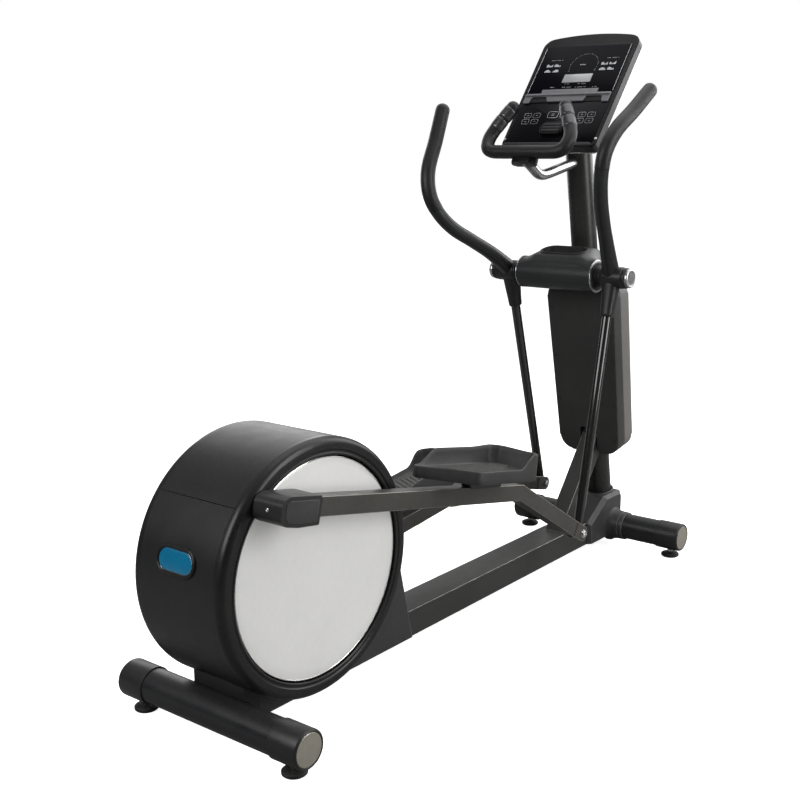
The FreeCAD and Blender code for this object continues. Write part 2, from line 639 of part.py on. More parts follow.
def shroud_outline(inset, depth, thick):
    """The shield's outline: wide at the top, two round lobes and a notch at the bottom."""
    half_top, half_low, rise = 126 - inset, 108 - inset, 575 - inset
    low = inset
    points = {"tl": Vector(-half_top, 0, rise), "tr": Vector(half_top, 0, rise),
              "br": Vector(half_low, 0, 60), "br2": Vector(50, 0, low), "nr": Vector(32 + inset, 0, low + 6),
              "nr2": Vector(32 + inset, 0, 78 + inset), "nl2": Vector(-32 - inset, 0, 78 + inset),
              "nl": Vector(-32 - inset, 0, low + 6), "bl2": Vector(-50, 0, low), "bl": Vector(-half_low, 0, 60)}
    edges = [Part.makeLine(points["tl"], points["tr"]), Part.makeLine(points["tr"], points["br"]),
             Part.Arc(points["br"], Vector(half_low - 17, 0, low + 17), points["br2"]).toShape(),
             Part.makeLine(points["br2"], points["nr"]), Part.makeLine(points["nr"], points["nr2"]),
             Part.makeLine(points["nr2"], points["nl2"]), Part.makeLine(points["nl2"], points["nl"]),
             Part.makeLine(points["nl"], points["bl2"]),
             Part.Arc(points["bl2"], Vector(-half_low + 17, 0, low + 17), points["bl"]).toShape(),
             Part.makeLine(points["bl"], points["tl"])]
    face = Part.Face(Part.Wire(edges))
    solid = face.extrude(Vector(0, thick, 0))
    solid.Placement = Placement(Vector(0, depth, 0), Rotation())
    return solid


def shroud_half(low, high, open_low, open_high):
    """One half of the shield, as a tray between two depths along the mast frame."""
    solid = shroud_outline(0, low, high - low).cut(shroud_outline(3.5, open_low, open_high - open_low))
    solid.Placement = board_frame().multiply(solid.Placement)
    solid = solid.cut(mast_stretch(300, 1000, mast_r + 0.5))
    return biggest(solid)


screw_spots = [(-112, 500), (112, 500), (-108, 330), (108, 330), (-100, 170), (100, 170), (-94, 62), (94, 62)]
shroud_rear = shroud_half(-48, -2, -44.5, -1)
frame_here = board_frame()
screws = []
for across, up in screw_spots:
    spot = frame_here.multVec(Vector(across, -48, up))
    inward = mast_back * -1
    shroud_rear = shroud_rear.cut(Part.makeCylinder(4.2, 2.5, spot, inward))
    screws.append(Part.makeCylinder(3.9, 1.5, spot + inward * 0.9, inward).cut(
        Part.makeCylinder(1.6, 1.0, spot + inward * 0.9, inward)))
feature_node("shroud_rear_half", shroud_rear)
feature_node("shroud_front_half", shroud_half(-1.8, 52, -3, 48.5))
feature_node("shroud_screws", Part.makeCompound(screws))

# Polygonal cover round the foot of the mast, with a collar over each half of the cross tube.
cover_half = 64
cover_outline = [(742, 40), (738, 113), (812, 160), (842, 180), (962, 180), (962, 40)]
cover = prism(cover_outline, -cover_half, cover_half)
collar_axis = Vector(-118, dim("front_axis_y"), dim("stabilizer_height"))
collar = Part.makeCylinder(dim("stabilizer_radius") + 5, 236, collar_axis, Vector(1, 0, 0))
cover = cover.fuse(collar).common(Part.makeBox(300, 400, 300, Vector(-150, 700, 36)))
cover_inner = prism([(735, 30), (735, 108), (810, 157), (842, 176.5), (958.5, 176.5), (958.5, 30)],
                    -cover_half + 4, cover_half - 4)
cover = cover.cut(cover_inner)
cover = cover.cut(Part.makeCylinder(dim("stabilizer_radius") + 0.4, 300,
                                    Vector(-150, dim("front_axis_y"), dim("stabilizer_height")), Vector(1, 0, 0)))
cover = cover.cut(mast_stretch(60, 400, mast_r + 0.6)).cut(Part.makeBox(100.6, 400, 75.6, Vector(-50.3, 600, 35.8)))
brace_clear = Part.makeBox(57, 57, brace_run.Length + 60, Vector(-28.5, -28.5, -60))
brace_clear.Placement = Placement(brace_low, brace_turn)
cover = cover.cut(brace_clear)
feature_node("front_base_cover", biggest(cover))

# ---------------------------------------------------------------- pivot housing on the mast
pivot = Vector(0, dim("pivot_y"), dim("pivot_z"))
house_r, house_half = dim("housing_radius"), dim("housing_half")
barrel = Part.makeCylinder(house_r, 2 * house_half, pivot - Vector(house_half, 0, 0), Vector(1, 0, 0))
hump_outline = [(pivot.y - 30, pivot.z + 38), (pivot.y - 8, pivot.z + 66), (pivot.y + 60, pivot.z + 70),
                (pivot.y + 150, pivot.z + 40), (pivot.y + 150, pivot.z - 30), (pivot.y + 20, pivot.z - 45)]
hump = prism(hump_outline, -108, 108)
house = barrel.fuse(hump)
tray_cut = Part.makeBox(170, 60, 40, Vector(-85, pivot.y - 2, pivot.z + 48))
tray_cut = tray_cut.makeFillet(24, [e for e in tray_cut.Edges if runs_along(e, Vector(0, 0, 1))])
house = house.cut(tray_cut)
AXLE_BAR = 14
house = house.cut(Part.makeCylinder(AXLE_BAR + 0.05, 400, pivot - Vector(200, 0, 0), Vector(1, 0, 0)))
house = house.cut(mast_stretch(700, 1300, mast_r + 0.3))
feature_node("pivot_housing", biggest(house))


def at_pivot(x):
    """A point on the arms' pivot axis."""
    return (x, "pivot_y", "pivot_z")


node(rod("x", AXLE_BAR, 480, at_pivot(-240)), "pivot_axle")
spacers = [ring("x", 24, 14.05, 14, at_pivot(low)) for low in (138, -152)]
end_trims = [ring("x", 44, 25, 2.6, at_pivot(low)) for low in (135.2, -137.8)]
node(group(*spacers, *end_trims), "pivot_spacers")
axle_caps = []
for sign in SIDES.values():
    outward = Vector(sign, 0, 0)
    cap = Part.makeCylinder(29, 11.4, pivot + outward * 242.8, outward)
    axle_caps.append(cap.makeChamfer(2.5, [e for e in cap.Edges if abs(e.CenterOfMass.x - sign * 254.2) < 0.1]))
feature_node("axle_end_caps", Part.makeCompound(axle_caps))

# ---------------------------------------------------------------- swing arms, built about the pivot
GRIP_LENGTH, GRIP_SLEEVE, GRIP_BORE, HANDLE_BAR, HANDLE_BEND = 330, 20.5, 15.6, 15.5, 42
HANDLE = [Vector(187, -2, 2), Vector(197, -62, 82), Vector(226, -184, 193), Vector(250, -272, 300),
          Vector(268, -240, 395), Vector(283, -101, 542)]
link_x, swing_length = dim("linkage_x"), dim("swing_length")


def arm_place(side):
    """Where the arm's own frame sits: at the pivot, turned to its rest angle."""
    return Placement(pivot, Rotation(Vector(1, 0, 0), dim(side + "_angle")))


def side_point(sign, point):
    """Mirror a point of the right-hand set for the left side."""
    return Vector(sign * point.x, point.y, point.z)


for side, sign in SIDES.items():
    place = arm_place(side)
    out = Vector(sign, 0, 0)
    hub_axis = Vector(sign * 154, 0, 0)
    hub = Part.makeCylinder(33, 88, hub_axis, out)
    socket = Part.makeCone(25, 19.5, 96, Vector(sign * link_x, 0, -26), Vector(0, 0, -1))
    tube_r = dim("arm_tube_radius")
    hub = hub.fuse(socket).cut(Part.makeCylinder(AXLE_BAR + 0.06, 300, Vector(sign * 100, 0, 0), out))
    hub = hub.cut(Part.makeCylinder(tube_r + 0.05, 90, Vector(sign * link_x, 0, -125), Vector(0, 0, 1)))
    handle_path = tube_path([side_point(sign, point) for point in HANDLE], HANDLE_BEND)
    handle = swept(handle_path, HANDLE_BAR)
    handle = handle.cut(Part.makeCylinder(AXLE_BAR + 0.06, 300, Vector(sign * 100, 0, 0), out))
    feature_node("upper_arm_" + side, hub.fuse(biggest(handle)), place)
    total = handle_path.Length
    grip_path = part_of_path(handle_path, total - GRIP_LENGTH, total)
    grip_tube = swept(grip_path, GRIP_SLEEVE).cut(swept(grip_path, GRIP_BORE))
    tip_way = (HANDLE[-1] - HANDLE[-2]).normalize()
    tip_ball = Part.makeSphere(GRIP_SLEEVE, side_point(sign, HANDLE[-1]))
    dome_cut = Part.makeCylinder(60, 60, side_point(sign, HANDLE[-1]) - side_point(sign, tip_way) * 60,
                                 side_point(sign, tip_way))
    feature_node("hand_grip_" + side, grip_tube.fuse(tip_ball.cut(dome_cut)), place)
    lower = Part.makeCylinder(tube_r, swing_length - 36 - 19, Vector(sign * link_x, 0, -36), Vector(0, 0, -1))
    eye = Part.makeCylinder(19, 28, Vector(sign * (link_x - 14), 0, -swing_length), out)
    stub = Part.makeCylinder(tube_r - 1, 20, Vector(sign * link_x, 0, -swing_length + 22), Vector(0, 0, -1))
    lower = lower.fuse([eye, stub])
    lower = lower.cut(Part.makeCylinder(9.05, 60, Vector(sign * (link_x - 30), 0, -swing_length), out))
    bush = Part.makeCylinder(9, 28, Vector(sign * (link_x - 14), 0, -swing_length), out).cut(
        Part.makeCylinder(6.05, 40, Vector(sign * (link_x - 20), 0, -swing_length), out))
    feature_node("lower_arm_" + side, Part.makeCompound([lower, bush]), place)

# ---------------------------------------------------------------- foot links, built about the crank pin
PEDAL_BACK_IN, PEDAL_BACK_OUT, PEDAL_FRONT, PEDAL_SKIRT, PEDAL_WALL = 480, 540, 832, 24, 62
RIB_COUNT, RIB_PITCH, LINK_WALL, EAR_THICK = 6, 36, 2.5, 6.5
half_w, tall = dim("link_half_width"), dim("link_height")
apex = Vector(0, dim("apex_along"), dim("apex_rise"))
link_end = Vector(0, dim("link_length"), 0)


def bar_outline(start, end, before, after, height):
    """The (y, z) corners of a straight flat bar from start to end, run on past both."""
    way = (end - start).normalize()
    normal = Vector(0, -way.z, way.y) * (height / 2)
    a, b = start - way * before, end + way * after
    return [(p.y, p.z) for p in (a - normal, b - normal, b + normal, a + normal)]


def hollow_bar(start, end, before, after, low_x, high_x, height, wall):
    """A rectangular tube as a closed box with open ends."""
    outer = prism(bar_outline(start, end, before, after, height), low_x, high_x)
    inner = prism(bar_outline(start, end, before + 5, after + 5, height - 2 * wall), low_x + wall, high_x - wall)
    return outer.cut(inner)


for side, sign in SIDES.items():
    lower_pivot = arm_place(side).multVec(Vector(0, 0, -swing_length))
    turn = dim("crank_angle") + (0 if sign > 0 else 180)
    pin = Vector(0, crank_y, crank_z) + Rotation(Vector(1, 0, 0), turn).multVec(Vector(0, dim("crank_radius"), 0))
    slope = math.degrees(math.atan2(lower_pivot.z - pin.z, lower_pivot.y - pin.y))
    away = Placement(lower_pivot, Rotation(Vector(1, 0, 0), slope)).multiply(Placement(link_end * -1, Rotation()))
    low_x, high_x = sorted((sign * (link_x - half_w), sign * (link_x + half_w)))
    rear_way, front_way = Vector(apex).normalize(), (link_end - apex).normalize()
    rear_bar = hollow_bar(Vector(), apex, -52, 40, low_x, high_x, tall, LINK_WALL)
    front_bar = hollow_bar(apex, link_end, 40, -50, low_x, high_x, tall, LINK_WALL)
    miter = Part.makeBox(200, 300, 600, Vector(-100, 0, -300))
    bisector = (rear_way + front_way).normalize()
    miter_turn = Rotation(Vector(1, 0, 0), math.degrees(math.atan2(bisector.z, bisector.y)))
    ahead = miter.copy()
    ahead.Placement = Placement(apex + Vector(sign * link_x, 0, 0), miter_turn)
    behind = miter.copy()
    behind.Placement = Placement(apex + Vector(sign * link_x, 0, 0), miter_turn).multiply(
        Placement(Vector(0, -300, 0), Rotation()))
    ears = []
    for ear_low in (link_x - half_w, link_x + half_w - EAR_THICK):
        ear_x = sorted((sign * ear_low, sign * (ear_low + EAR_THICK)))
        plate = prism(bar_outline(apex, link_end, -(link_end - apex).Length + 72, 0, tall + 1), ear_x[0], ear_x[1])
        nose = Part.makeCylinder(tall / 2 + 0.5, EAR_THICK, Vector(ear_x[0], link_end.y, 0), Vector(1, 0, 0))
        ears.append(plate.fuse(nose).cut(Part.makeCylinder(6.03, 40, Vector(ear_x[0] - 10, link_end.y, 0),
                                                           Vector(1, 0, 0))))
    front = front_bar.cut(behind).fuse(ears + [rear_bar.cut(ahead)]).removeSplitter()
    clear_eye = Part.makeCylinder(25, 29.6, Vector(sign * link_x - 14.8, link_end.y, 0), Vector(1, 0, 0))
    feature_node("foot_link_" + side, biggest(front.cut(clear_eye)), away)
    bolt_x = sign * (link_x - half_w - 5)
    bolt = Part.makeCylinder(6, 2 * half_w + 10, Vector(bolt_x, link_end.y, 0), Vector(sign, 0, 0))
    head = Part.makeCylinder(11, 6.5, Vector(sign * (link_x + half_w + 0.05), link_end.y, 0), Vector(sign, 0, 0))
    head = head.cut(Part.makeCylinder(4, 4, Vector(sign * (link_x + half_w + 3), link_end.y, 0), Vector(sign, 0, 0)))
    nut = Part.makeCylinder(10.5, 7, Vector(sign * (link_x - half_w - 0.05), link_end.y, 0), Vector(-sign, 0, 0))
    feature_node("lower_pivot_bolt_" + side, bolt.fuse([head, nut]), away)

    # Hub cover round the crank pin and the pin with its bearing.
    inner_x, outer_x = dim("hub_inner_x"), dim("hub_outer_x")
    hub_low, hub_high = sorted((sign * inner_x, sign * outer_x))
    rear_axis = math.degrees(math.atan2(apex.z, apex.y))
    hub_box = Part.makeBox(hub_high - hub_low, 122, 66, Vector(hub_low, -52, -36))
    along_x = [e for e in hub_box.Edges if runs_along(e, Vector(1, 0, 0)) and e.CenterOfMass.y < 0]
    hub_box = hub_box.makeFillet(26, along_x)
    outer_edges = [e for e in hub_box.Edges if abs(abs(e.CenterOfMass.x) - outer_x) < 0.05]
    hub_box = hub_box.makeFillet(7, outer_edges)
    hub_box.Placement = Placement(Vector(), Rotation(Vector(1, 0, 0), rear_axis))
    pin_cut = Part.makeCylinder(24.05, outer_x - inner_x - 14, Vector(sign * (inner_x - 1), 0, 0), Vector(sign, 0, 0))
    bar_cut = prism(bar_outline(Vector(), apex, -51, 0, tall + 0.4), low_x - 0.2, high_x + 0.2)
    feature_node("pin_hub_cover_" + side, hub_box.cut(pin_cut).cut(bar_cut), away)
    bearing = Part.makeCylinder(24, 24, Vector(sign * (inner_x + 2), 0, 0), Vector(sign, 0, 0)).cut(
        Part.makeCylinder(12.05, 30, Vector(sign * inner_x, 0, 0), Vector(sign, 0, 0)))
    pin_bar = Part.makeCylinder(12, 66, Vector(sign * (inner_x - 1), 0, 0), Vector(sign, 0, 0))
    feature_node("crank_pin_" + side, Part.makeCompound([pin_bar, bearing]), away)

    # Pedal: a deep tray held above the rear tube by a block, open at the back, with high inner and front walls.
    in_x, out_x = dim("pedal_inner_x"), dim("pedal_outer_x")
    back_in, back_out, front_y = PEDAL_BACK_IN, PEDAL_BACK_OUT, PEDAL_FRONT
    deck = tall / 2 + 3
    plan = [Vector(sign * in_x, back_in, deck - PEDAL_SKIRT), Vector(sign * (in_x + 24), back_in - 12, deck - PEDAL_SKIRT),
            Vector(sign * out_x, back_out, deck - PEDAL_SKIRT), Vector(sign * out_x, front_y - 26, deck - PEDAL_SKIRT),
            Vector(sign * (out_x - 26), front_y, deck - PEDAL_SKIRT), Vector(sign * (in_x + 16), front_y, deck - PEDAL_SKIRT),
            Vector(sign * in_x, front_y - 16, deck - PEDAL_SKIRT)]
    body_solid = Part.Face(Part.makePolygon(plan + plan[:1])).extrude(Vector(0, 0, PEDAL_SKIRT + PEDAL_WALL))
    centre = Vector(sign * (in_x + out_x) / 2, (back_out + front_y) / 2, 0)
    inner_plan = [Vector(p.x + (centre.x - p.x) * 0.09, p.y + (centre.y - p.y) * 0.05, deck) for p in plan]
    inner_plan[0] = Vector(inner_plan[0].x, plan[0].y - 30, deck)
    inner_plan[1] = Vector(inner_plan[1].x, plan[1].y - 30, deck)
    inner_plan[2] = Vector(inner_plan[2].x, plan[2].y - 30, deck)
    body_solid = body_solid.cut(Part.Face(Part.makePolygon(inner_plan + inner_plan[:1])).extrude(Vector(0, 0, 80)))
    wall_line = [(back_in - 60, deck + 6), (back_in + 20, deck + 6), (back_in + 110, deck + 44), (front_y - 120, deck + 44),
                 (front_y - 40, deck + 50), (front_y + 40, deck + 44), (front_y + 40, deck + 90), (back_in - 60, deck + 90)]
    lip_line = [(back_in - 60, deck + 8), (front_y - 110, deck + 8), (front_y - 60, deck + 46), (front_y + 40, deck + 44),
                (front_y + 40, deck + 90), (back_in - 60, deck + 90)]
    mid_x = (in_x + out_x) / 2
    inner_span = sorted((sign * (in_x - 5), sign * mid_x))
    outer_span = sorted((sign * mid_x, sign * (out_x + 5)))
    body_solid = body_solid.cut(prism(wall_line, *inner_span)).cut(prism(lip_line, *outer_span))
    under = prism(bar_outline(Vector(), apex, 0, 60, tall + 0.4), low_x - 0.2, high_x + 0.2)
    rear_turn_place = Placement(Vector(), Rotation(Vector(1, 0, 0), rear_axis))
    foot_block = Part.makeBox(2 * half_w - 0.4, 180, deck - PEDAL_SKIRT + 31, Vector(low_x + 0.2, 620, -30))
    body_solid = body_solid.fuse(foot_block)
    pedal_place = rear_turn_place.multiply(
        Placement(Vector(0, 0, dim("pedal_lift")), Rotation(Vector(1, 0, 0), dim("pedal_tilt"))))
    body_solid.Placement = pedal_place
    body_solid = body_solid.cut(under)
    fall = prism(bar_outline(apex, link_end, 60, 0, tall + 0.4), low_x - 0.2, high_x + 0.2)
    body_solid = body_solid.cut(fall)
    pedal = biggest(body_solid)
    ribs = []
    for index in range(RIB_COUNT):
        rib = Part.makeBox(92, 7, 2.8, Vector(-46, -3.5, 0))
        rib.Placement = pedal_place.multiply(Placement(Vector(sign * (mid_x - 4), 590 + RIB_PITCH * index, deck - 0.4),
                                                           Rotation(Vector(0, 0, 1), sign * 24)))
        ribs.append(rib)
    feature_node("pedal_" + side, pedal.fuse(ribs), away)

# ---------------------------------------------------------------- console


def rounded_slab(half_x, low, high, thick, radius, lift):
    """A slab in the console's own plane, with four rounded corners."""
    slab = Part.makeBox(2 * half_x, high - low, thick, Vector(-half_x, low, lift))
    return slab.makeFillet(radius, [e for e in slab.Edges if runs_along(e, Vector(0, 0, 1))])


half_c, long_c, thick_c = dim("console_half"), dim("console_length"), dim("console_thick")
SHELL_WALL, SHELL_CORNER = 4, 22
shell_solid = rounded_slab(half_c, 0, long_c, thick_c, SHELL_CORNER, -thick_c).cut(
    rounded_slab(half_c - SHELL_WALL, SHELL_WALL, long_c - SHELL_WALL, thick_c, SHELL_CORNER - SHELL_WALL,
                 SHELL_WALL - thick_c))
neck = Part.makeBox(120, 150, 60, Vector(-60, 60, -thick_c - 60))
neck = neck.makeFillet(18, [e for e in neck.Edges if runs_along(e, Vector(0, 0, 1))])
neck = neck.cut(Part.makeBox(108, 138, 56, Vector(-54, 66, -thick_c - 60 + 4)))
shell_solid = shell_solid.fuse(neck)
shell_solid.Placement = console_place
shell_solid = shell_solid.cut(mast_stretch(1000, 1500, mast_r + 0.3))
feature_node("console_rear_shell", biggest(shell_solid))
FACE_INSET = SHELL_WALL + 0.1
face_plate = rounded_slab(half_c - FACE_INSET, FACE_INSET, long_c - FACE_INSET, 4, SHELL_CORNER - SHELL_WALL, -4.2)
DISPLAY_HALF, DISPLAY_LOW, DISPLAY_HIGH, DISPLAY_GAP = 50, 248, 280, 0.3
display_hole = Part.makeBox(2 * (DISPLAY_HALF + DISPLAY_GAP), DISPLAY_HIGH - DISPLAY_LOW + 2 * DISPLAY_GAP, 10,
                            Vector(-DISPLAY_HALF - DISPLAY_GAP, DISPLAY_LOW - DISPLAY_GAP, -6))
face_plate = face_plate.cut(display_hole)
feature_node("console_face_plate", face_plate, console_place)
display = Part.makeBox(2 * DISPLAY_HALF, DISPLAY_HIGH - DISPLAY_LOW, 3, Vector(-DISPLAY_HALF, DISPLAY_LOW, -4.2))
feature_node("display_window", display, console_place)
feature_node("circuit_board", Part.makeBox(250, 300, 2, Vector(-125, 80, -14)), console_place)
rack = Part.makeBox(300, 16, 12, Vector(-150, 186, 0.05)).cut(Part.makeBox(310, 10, 8, Vector(-155, 192, 4)))
pod = Part.makeBox(70, 44, 15, Vector(-35, 22, 0.05))
pod = pod.makeFillet(10, [e for e in pod.Edges if runs_along(e, Vector(0, 0, 1))])
feature_node("rack_and_pod", Part.makeCompound([rack, pod]), console_place)

# ---------------------------------------------------------------- fixed grip bar
GRIP_BAR = [Vector(83, 486, 1477), Vector(138, 436, 1392), Vector(133, 398, 1332)]
bar_points = GRIP_BAR + [Vector(-p.x, p.y, p.z) for p in reversed(GRIP_BAR)]
bar_path = tube_path(bar_points, 38)
bar = swept(bar_path, dim("grip_radius"))
feature_node("fixed_grip_bar", bar)
arm_way = (GRIP_BAR[0] - GRIP_BAR[1]).normalize()
sensors = []
for sign in SIDES.values():
    way = side_point(sign, arm_way)
    for start in (22, 66):
        low = side_point(sign, GRIP_BAR[0] - arm_way * (start + 34))
        sleeve = Part.makeCylinder(dim("grip_radius") + 1.4, 34, low, way)
        sensors.append(sleeve.cut(Part.makeCylinder(dim("grip_radius") + 0.05, 36, low - way, way)))
feature_node("pulse_sensors", Part.makeCompound(sensors))
support_points = [Vector(0, 433, 1295), Vector(0, 503, 1262), Vector(0, 690, 1301)]
support = swept(tube_path(support_points, 60), dim("support_radius"))
support = support.cut(mast_stretch(1100, 1500, mast_r + 0.05))
clamp = Part.makeBox(84, 44, 40, Vector(-42, -22, -14))
clamp.Placement = Placement(Vector(0, 400, 1312), Rotation(Vector(1, 0, 0), -22))
clamp = clamp.cut(swept(bar_path, dim("grip_radius") + 0.05)).cut(Part.makeBox(100, 60, 60, Vector(-50, 340, 1318)))
bar_bore = swept(bar_path, dim("grip_radius") + 0.04)
feature_node("grip_support", biggest(biggest(support).fuse(biggest(clamp)).cut(bar_bore)))

# ---------------------------------------------------------------- check and write
doc.recompute()
for item in doc.Objects:
    if "Invalid" in item.State or "Error" in item.State:
        raise RuntimeError("failed feature: " + item.Name)
os.makedirs("parts", exist_ok=True)
for item in nodes:
    shape = item.Shape
    if shape.isNull() or not shape.isValid():
        raise RuntimeError("bad shape: " + item.Label)
    shape.exportStep(os.path.join("parts", item.Label + ".step"))
print(len(nodes), "nodes written")
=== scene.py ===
"""Elliptical trainer: the looks of the machine, built around its fixed frame.

Metres throughout. +Z is up, +Y points towards the console and +X to the user's right hand.
"""

import json
import logging
import math
from dataclasses import dataclass
from enum import Enum
from typing import Callable, Iterable, Optional, Sequence

import bmesh
import bpy
from mathutils import Matrix, Vector

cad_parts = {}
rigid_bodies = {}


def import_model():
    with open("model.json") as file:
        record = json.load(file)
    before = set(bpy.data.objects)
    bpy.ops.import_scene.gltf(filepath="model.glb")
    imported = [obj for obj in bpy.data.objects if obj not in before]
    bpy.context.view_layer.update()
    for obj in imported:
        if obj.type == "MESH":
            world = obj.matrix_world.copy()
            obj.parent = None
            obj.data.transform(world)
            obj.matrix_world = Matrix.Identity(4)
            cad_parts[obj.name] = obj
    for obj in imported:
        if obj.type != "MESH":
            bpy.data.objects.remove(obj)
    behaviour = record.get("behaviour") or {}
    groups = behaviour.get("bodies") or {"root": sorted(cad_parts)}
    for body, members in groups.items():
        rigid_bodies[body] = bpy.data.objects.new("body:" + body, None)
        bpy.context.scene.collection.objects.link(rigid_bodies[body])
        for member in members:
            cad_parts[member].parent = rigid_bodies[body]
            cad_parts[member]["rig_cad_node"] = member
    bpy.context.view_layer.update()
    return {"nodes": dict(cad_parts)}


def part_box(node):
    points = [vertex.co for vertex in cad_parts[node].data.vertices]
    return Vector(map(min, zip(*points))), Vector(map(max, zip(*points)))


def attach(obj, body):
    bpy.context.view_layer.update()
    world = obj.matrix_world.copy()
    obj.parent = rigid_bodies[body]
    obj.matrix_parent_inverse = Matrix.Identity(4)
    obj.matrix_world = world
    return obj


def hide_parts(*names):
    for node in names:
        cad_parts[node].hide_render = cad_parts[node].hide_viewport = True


LOG = logging.getLogger("trainer")
SIDES: dict[str, int] = {"right": 1, "left": -1}
Colour = tuple[float, float, float]
Point2 = tuple[float, float]
Piece = bpy.types.Object
Tree = bpy.types.NodeTree
Socket = bpy.types.NodeSocket
Work = bmesh.types.BMesh


# ------------------------------------------------------------------ finishes


class Texture(Enum):
    """The micro-texture that a surface has been given."""

    MOULDED = "fine moulded grain"
    POWDER = "powder coat with an orange peel"
    ENAMEL = "smooth enamel"
    FOAM = "closed-cell foam"
    BRUSHED = "brushed along one way"
    TURNED = "turned on a lathe"
    CAST = "rough casting"
    GLASS = "polished clear panel"


@dataclass(frozen=True)
class Finish:
    """One surface finish, from its colours down to its grain.

    Sizes are metres, and grain is the number of grains in a metre.
    """

    name: str
    slot: str
    base: Colour
    second: Colour
    texture: Texture = Texture.MOULDED
    roughness: float = 0.45
    spread: float = 0.12
    metallic: float = 0.0
    coat: float = 0.0
    coat_roughness: float = 0.15
    grain: float = 900.0
    depth: float = 0.00012
    # edge and edge_amount set the lighter colour mixed in along edges: partly wear, partly a painted
    # highlight.
    edge: Colour = (0.1, 0.1, 0.1)
    edge_amount: float = 0.35
    edge_radius: float = 0.0016
    dust: float = 0.06
    specular: float = 0.26
    stretch: tuple[float, float, float] = (1.0, 1.0, 1.0)


DRUM_SKIN = Finish("satin_black_casing", "black_plastic", (0.0085, 0.0087, 0.009), (0.014, 0.014, 0.0145),
                   roughness=0.38, grain=1500, depth=0.00005, edge=(0.05, 0.05, 0.05), dust=0.05)
RIM_SKIN = Finish("satin_black_rim", "black_plastic", (0.007, 0.007, 0.0072), (0.012, 0.012, 0.012),
                  roughness=0.3, grain=1700, depth=0.00004, edge=(0.08, 0.08, 0.08), dust=0.03)
TRAY_SKIN = Finish(
        "charcoal_pedal_moulding", "grey_plastic", (0.019, 0.019, 0.0195), (0.034, 0.034, 0.033),
        roughness=0.5, grain=1100, depth=0.00015, edge=(0.17, 0.17, 0.165), edge_amount=0.6,
        edge_radius=0.0022, dust=0.14)
TREAD_SKIN = Finish("worn_tread", "rubber", (0.03, 0.03, 0.031), (0.062, 0.062, 0.06), roughness=0.55,
                    grain=700, depth=0.0003, edge=(0.2, 0.2, 0.195), edge_amount=0.7, dust=0.3)
SHIELD_SKIN = Finish(
        "charcoal_shield", "grey_plastic", (0.024, 0.024, 0.0235), (0.034, 0.034, 0.033), roughness=0.46,
        grain=1200, depth=0.00012, edge=(0.16, 0.16, 0.155), edge_amount=0.55, edge_radius=0.003, dust=0.06)
# Painted light: the shield's front half is coloured a lighter copy of its charcoal to stand in for the light
# on the shield's side.
SHIELD_LIT_SIDE = Finish("shield_side_painted_lit", "grey_plastic", (0.11, 0.107, 0.102), (0.14, 0.136, 0.13),
                     roughness=0.5, grain=1200, depth=0.0001, edge=(0.32, 0.31, 0.3), dust=0.08)
COVER_SKIN = Finish(
        "graphite_cover", "black_plastic", (0.026, 0.0262, 0.027), (0.04, 0.04, 0.041), roughness=0.42,
        grain=1200, depth=0.00012, edge=(0.3, 0.3, 0.29), edge_amount=0.8, edge_radius=0.002, dust=0.08)
HOUSING_SKIN = Finish(
        "graphite_housing", "black_plastic", (0.017, 0.018, 0.0195), (0.027, 0.028, 0.029), roughness=0.4,
        grain=1300, depth=0.0001, edge=(0.14, 0.14, 0.14), edge_amount=0.5, dust=0.07)
PIT_SKIN = Finish("black_tray_liner", "rubber", (0.004, 0.004, 0.0042), (0.009, 0.009, 0.009), roughness=0.6,
                  grain=500, depth=0.0003, edge=(0.05, 0.05, 0.05), dust=0.08)
HUB_SKIN = Finish("satin_black_hub", "black_plastic", (0.012, 0.012, 0.0122), (0.02, 0.02, 0.02),
                  roughness=0.36, grain=1300, depth=0.0001, edge=(0.12, 0.12, 0.12), dust=0.05)
BEAM_PAINT = Finish(
        "graphite_beam_paint", "frame_paint", (0.033, 0.0325, 0.032), (0.046, 0.0455, 0.044), Texture.POWDER,
        roughness=0.36, grain=650, depth=0.00018, edge=(0.62, 0.61, 0.59), edge_amount=1.0,
        edge_radius=0.0028, dust=0.07, metallic=0.25)
# Painted light: a lighter copy of the frame paint for the foot links, standing in for the light their outer
# faces catch.
LIT_LINK_PAINT = Finish(
        "warm_link_paint_painted_lighter", "frame_paint", (0.046, 0.043, 0.039), (0.068, 0.064, 0.058),
        Texture.POWDER, roughness=0.34, grain=700, depth=0.00015, edge=(0.6, 0.58, 0.54), edge_amount=0.9,
        edge_radius=0.0026, dust=0.05, metallic=0.3)
TUBE_PAINT = Finish("satin_black_tube_paint", "frame_paint", (0.011, 0.0115, 0.0125), (0.019, 0.0195, 0.021),
                    Texture.POWDER, roughness=0.33, grain=800, depth=0.0001, edge=(0.2, 0.2, 0.2), dust=0.05)
MAST_PAINT = Finish(
        "satin_mast_paint", "frame_paint", (0.02, 0.0198, 0.0192), (0.034, 0.0335, 0.032), Texture.POWDER,
        roughness=0.3, grain=750, depth=0.0001, edge=(0.25, 0.25, 0.25), metallic=0.35, dust=0.04)
GLOSS_PAINT = Finish(
        "gloss_black_enamel", "gloss_tube", (0.012, 0.012, 0.012), (0.02, 0.02, 0.019), Texture.ENAMEL,
        roughness=0.16, spread=0.06, grain=260, depth=0.00005, edge=(0.3, 0.3, 0.3), coat=0.8,
        coat_roughness=0.06, dust=0.02, metallic=0.2)
FOAM = Finish(
        "black_foam", "foam", (0.004, 0.0041, 0.0045), (0.0085, 0.0088, 0.0095), Texture.FOAM, roughness=0.44,
        grain=1500, depth=0.00022, edge=(0.03, 0.03, 0.03), dust=0.04, coat=0.15, coat_roughness=0.35)
RUBBER = Finish("moulded_rubber", "rubber", (0.006, 0.006, 0.006), (0.013, 0.013, 0.0125), roughness=0.55,
                grain=800, depth=0.0002, edge=(0.06, 0.06, 0.06), dust=0.12)
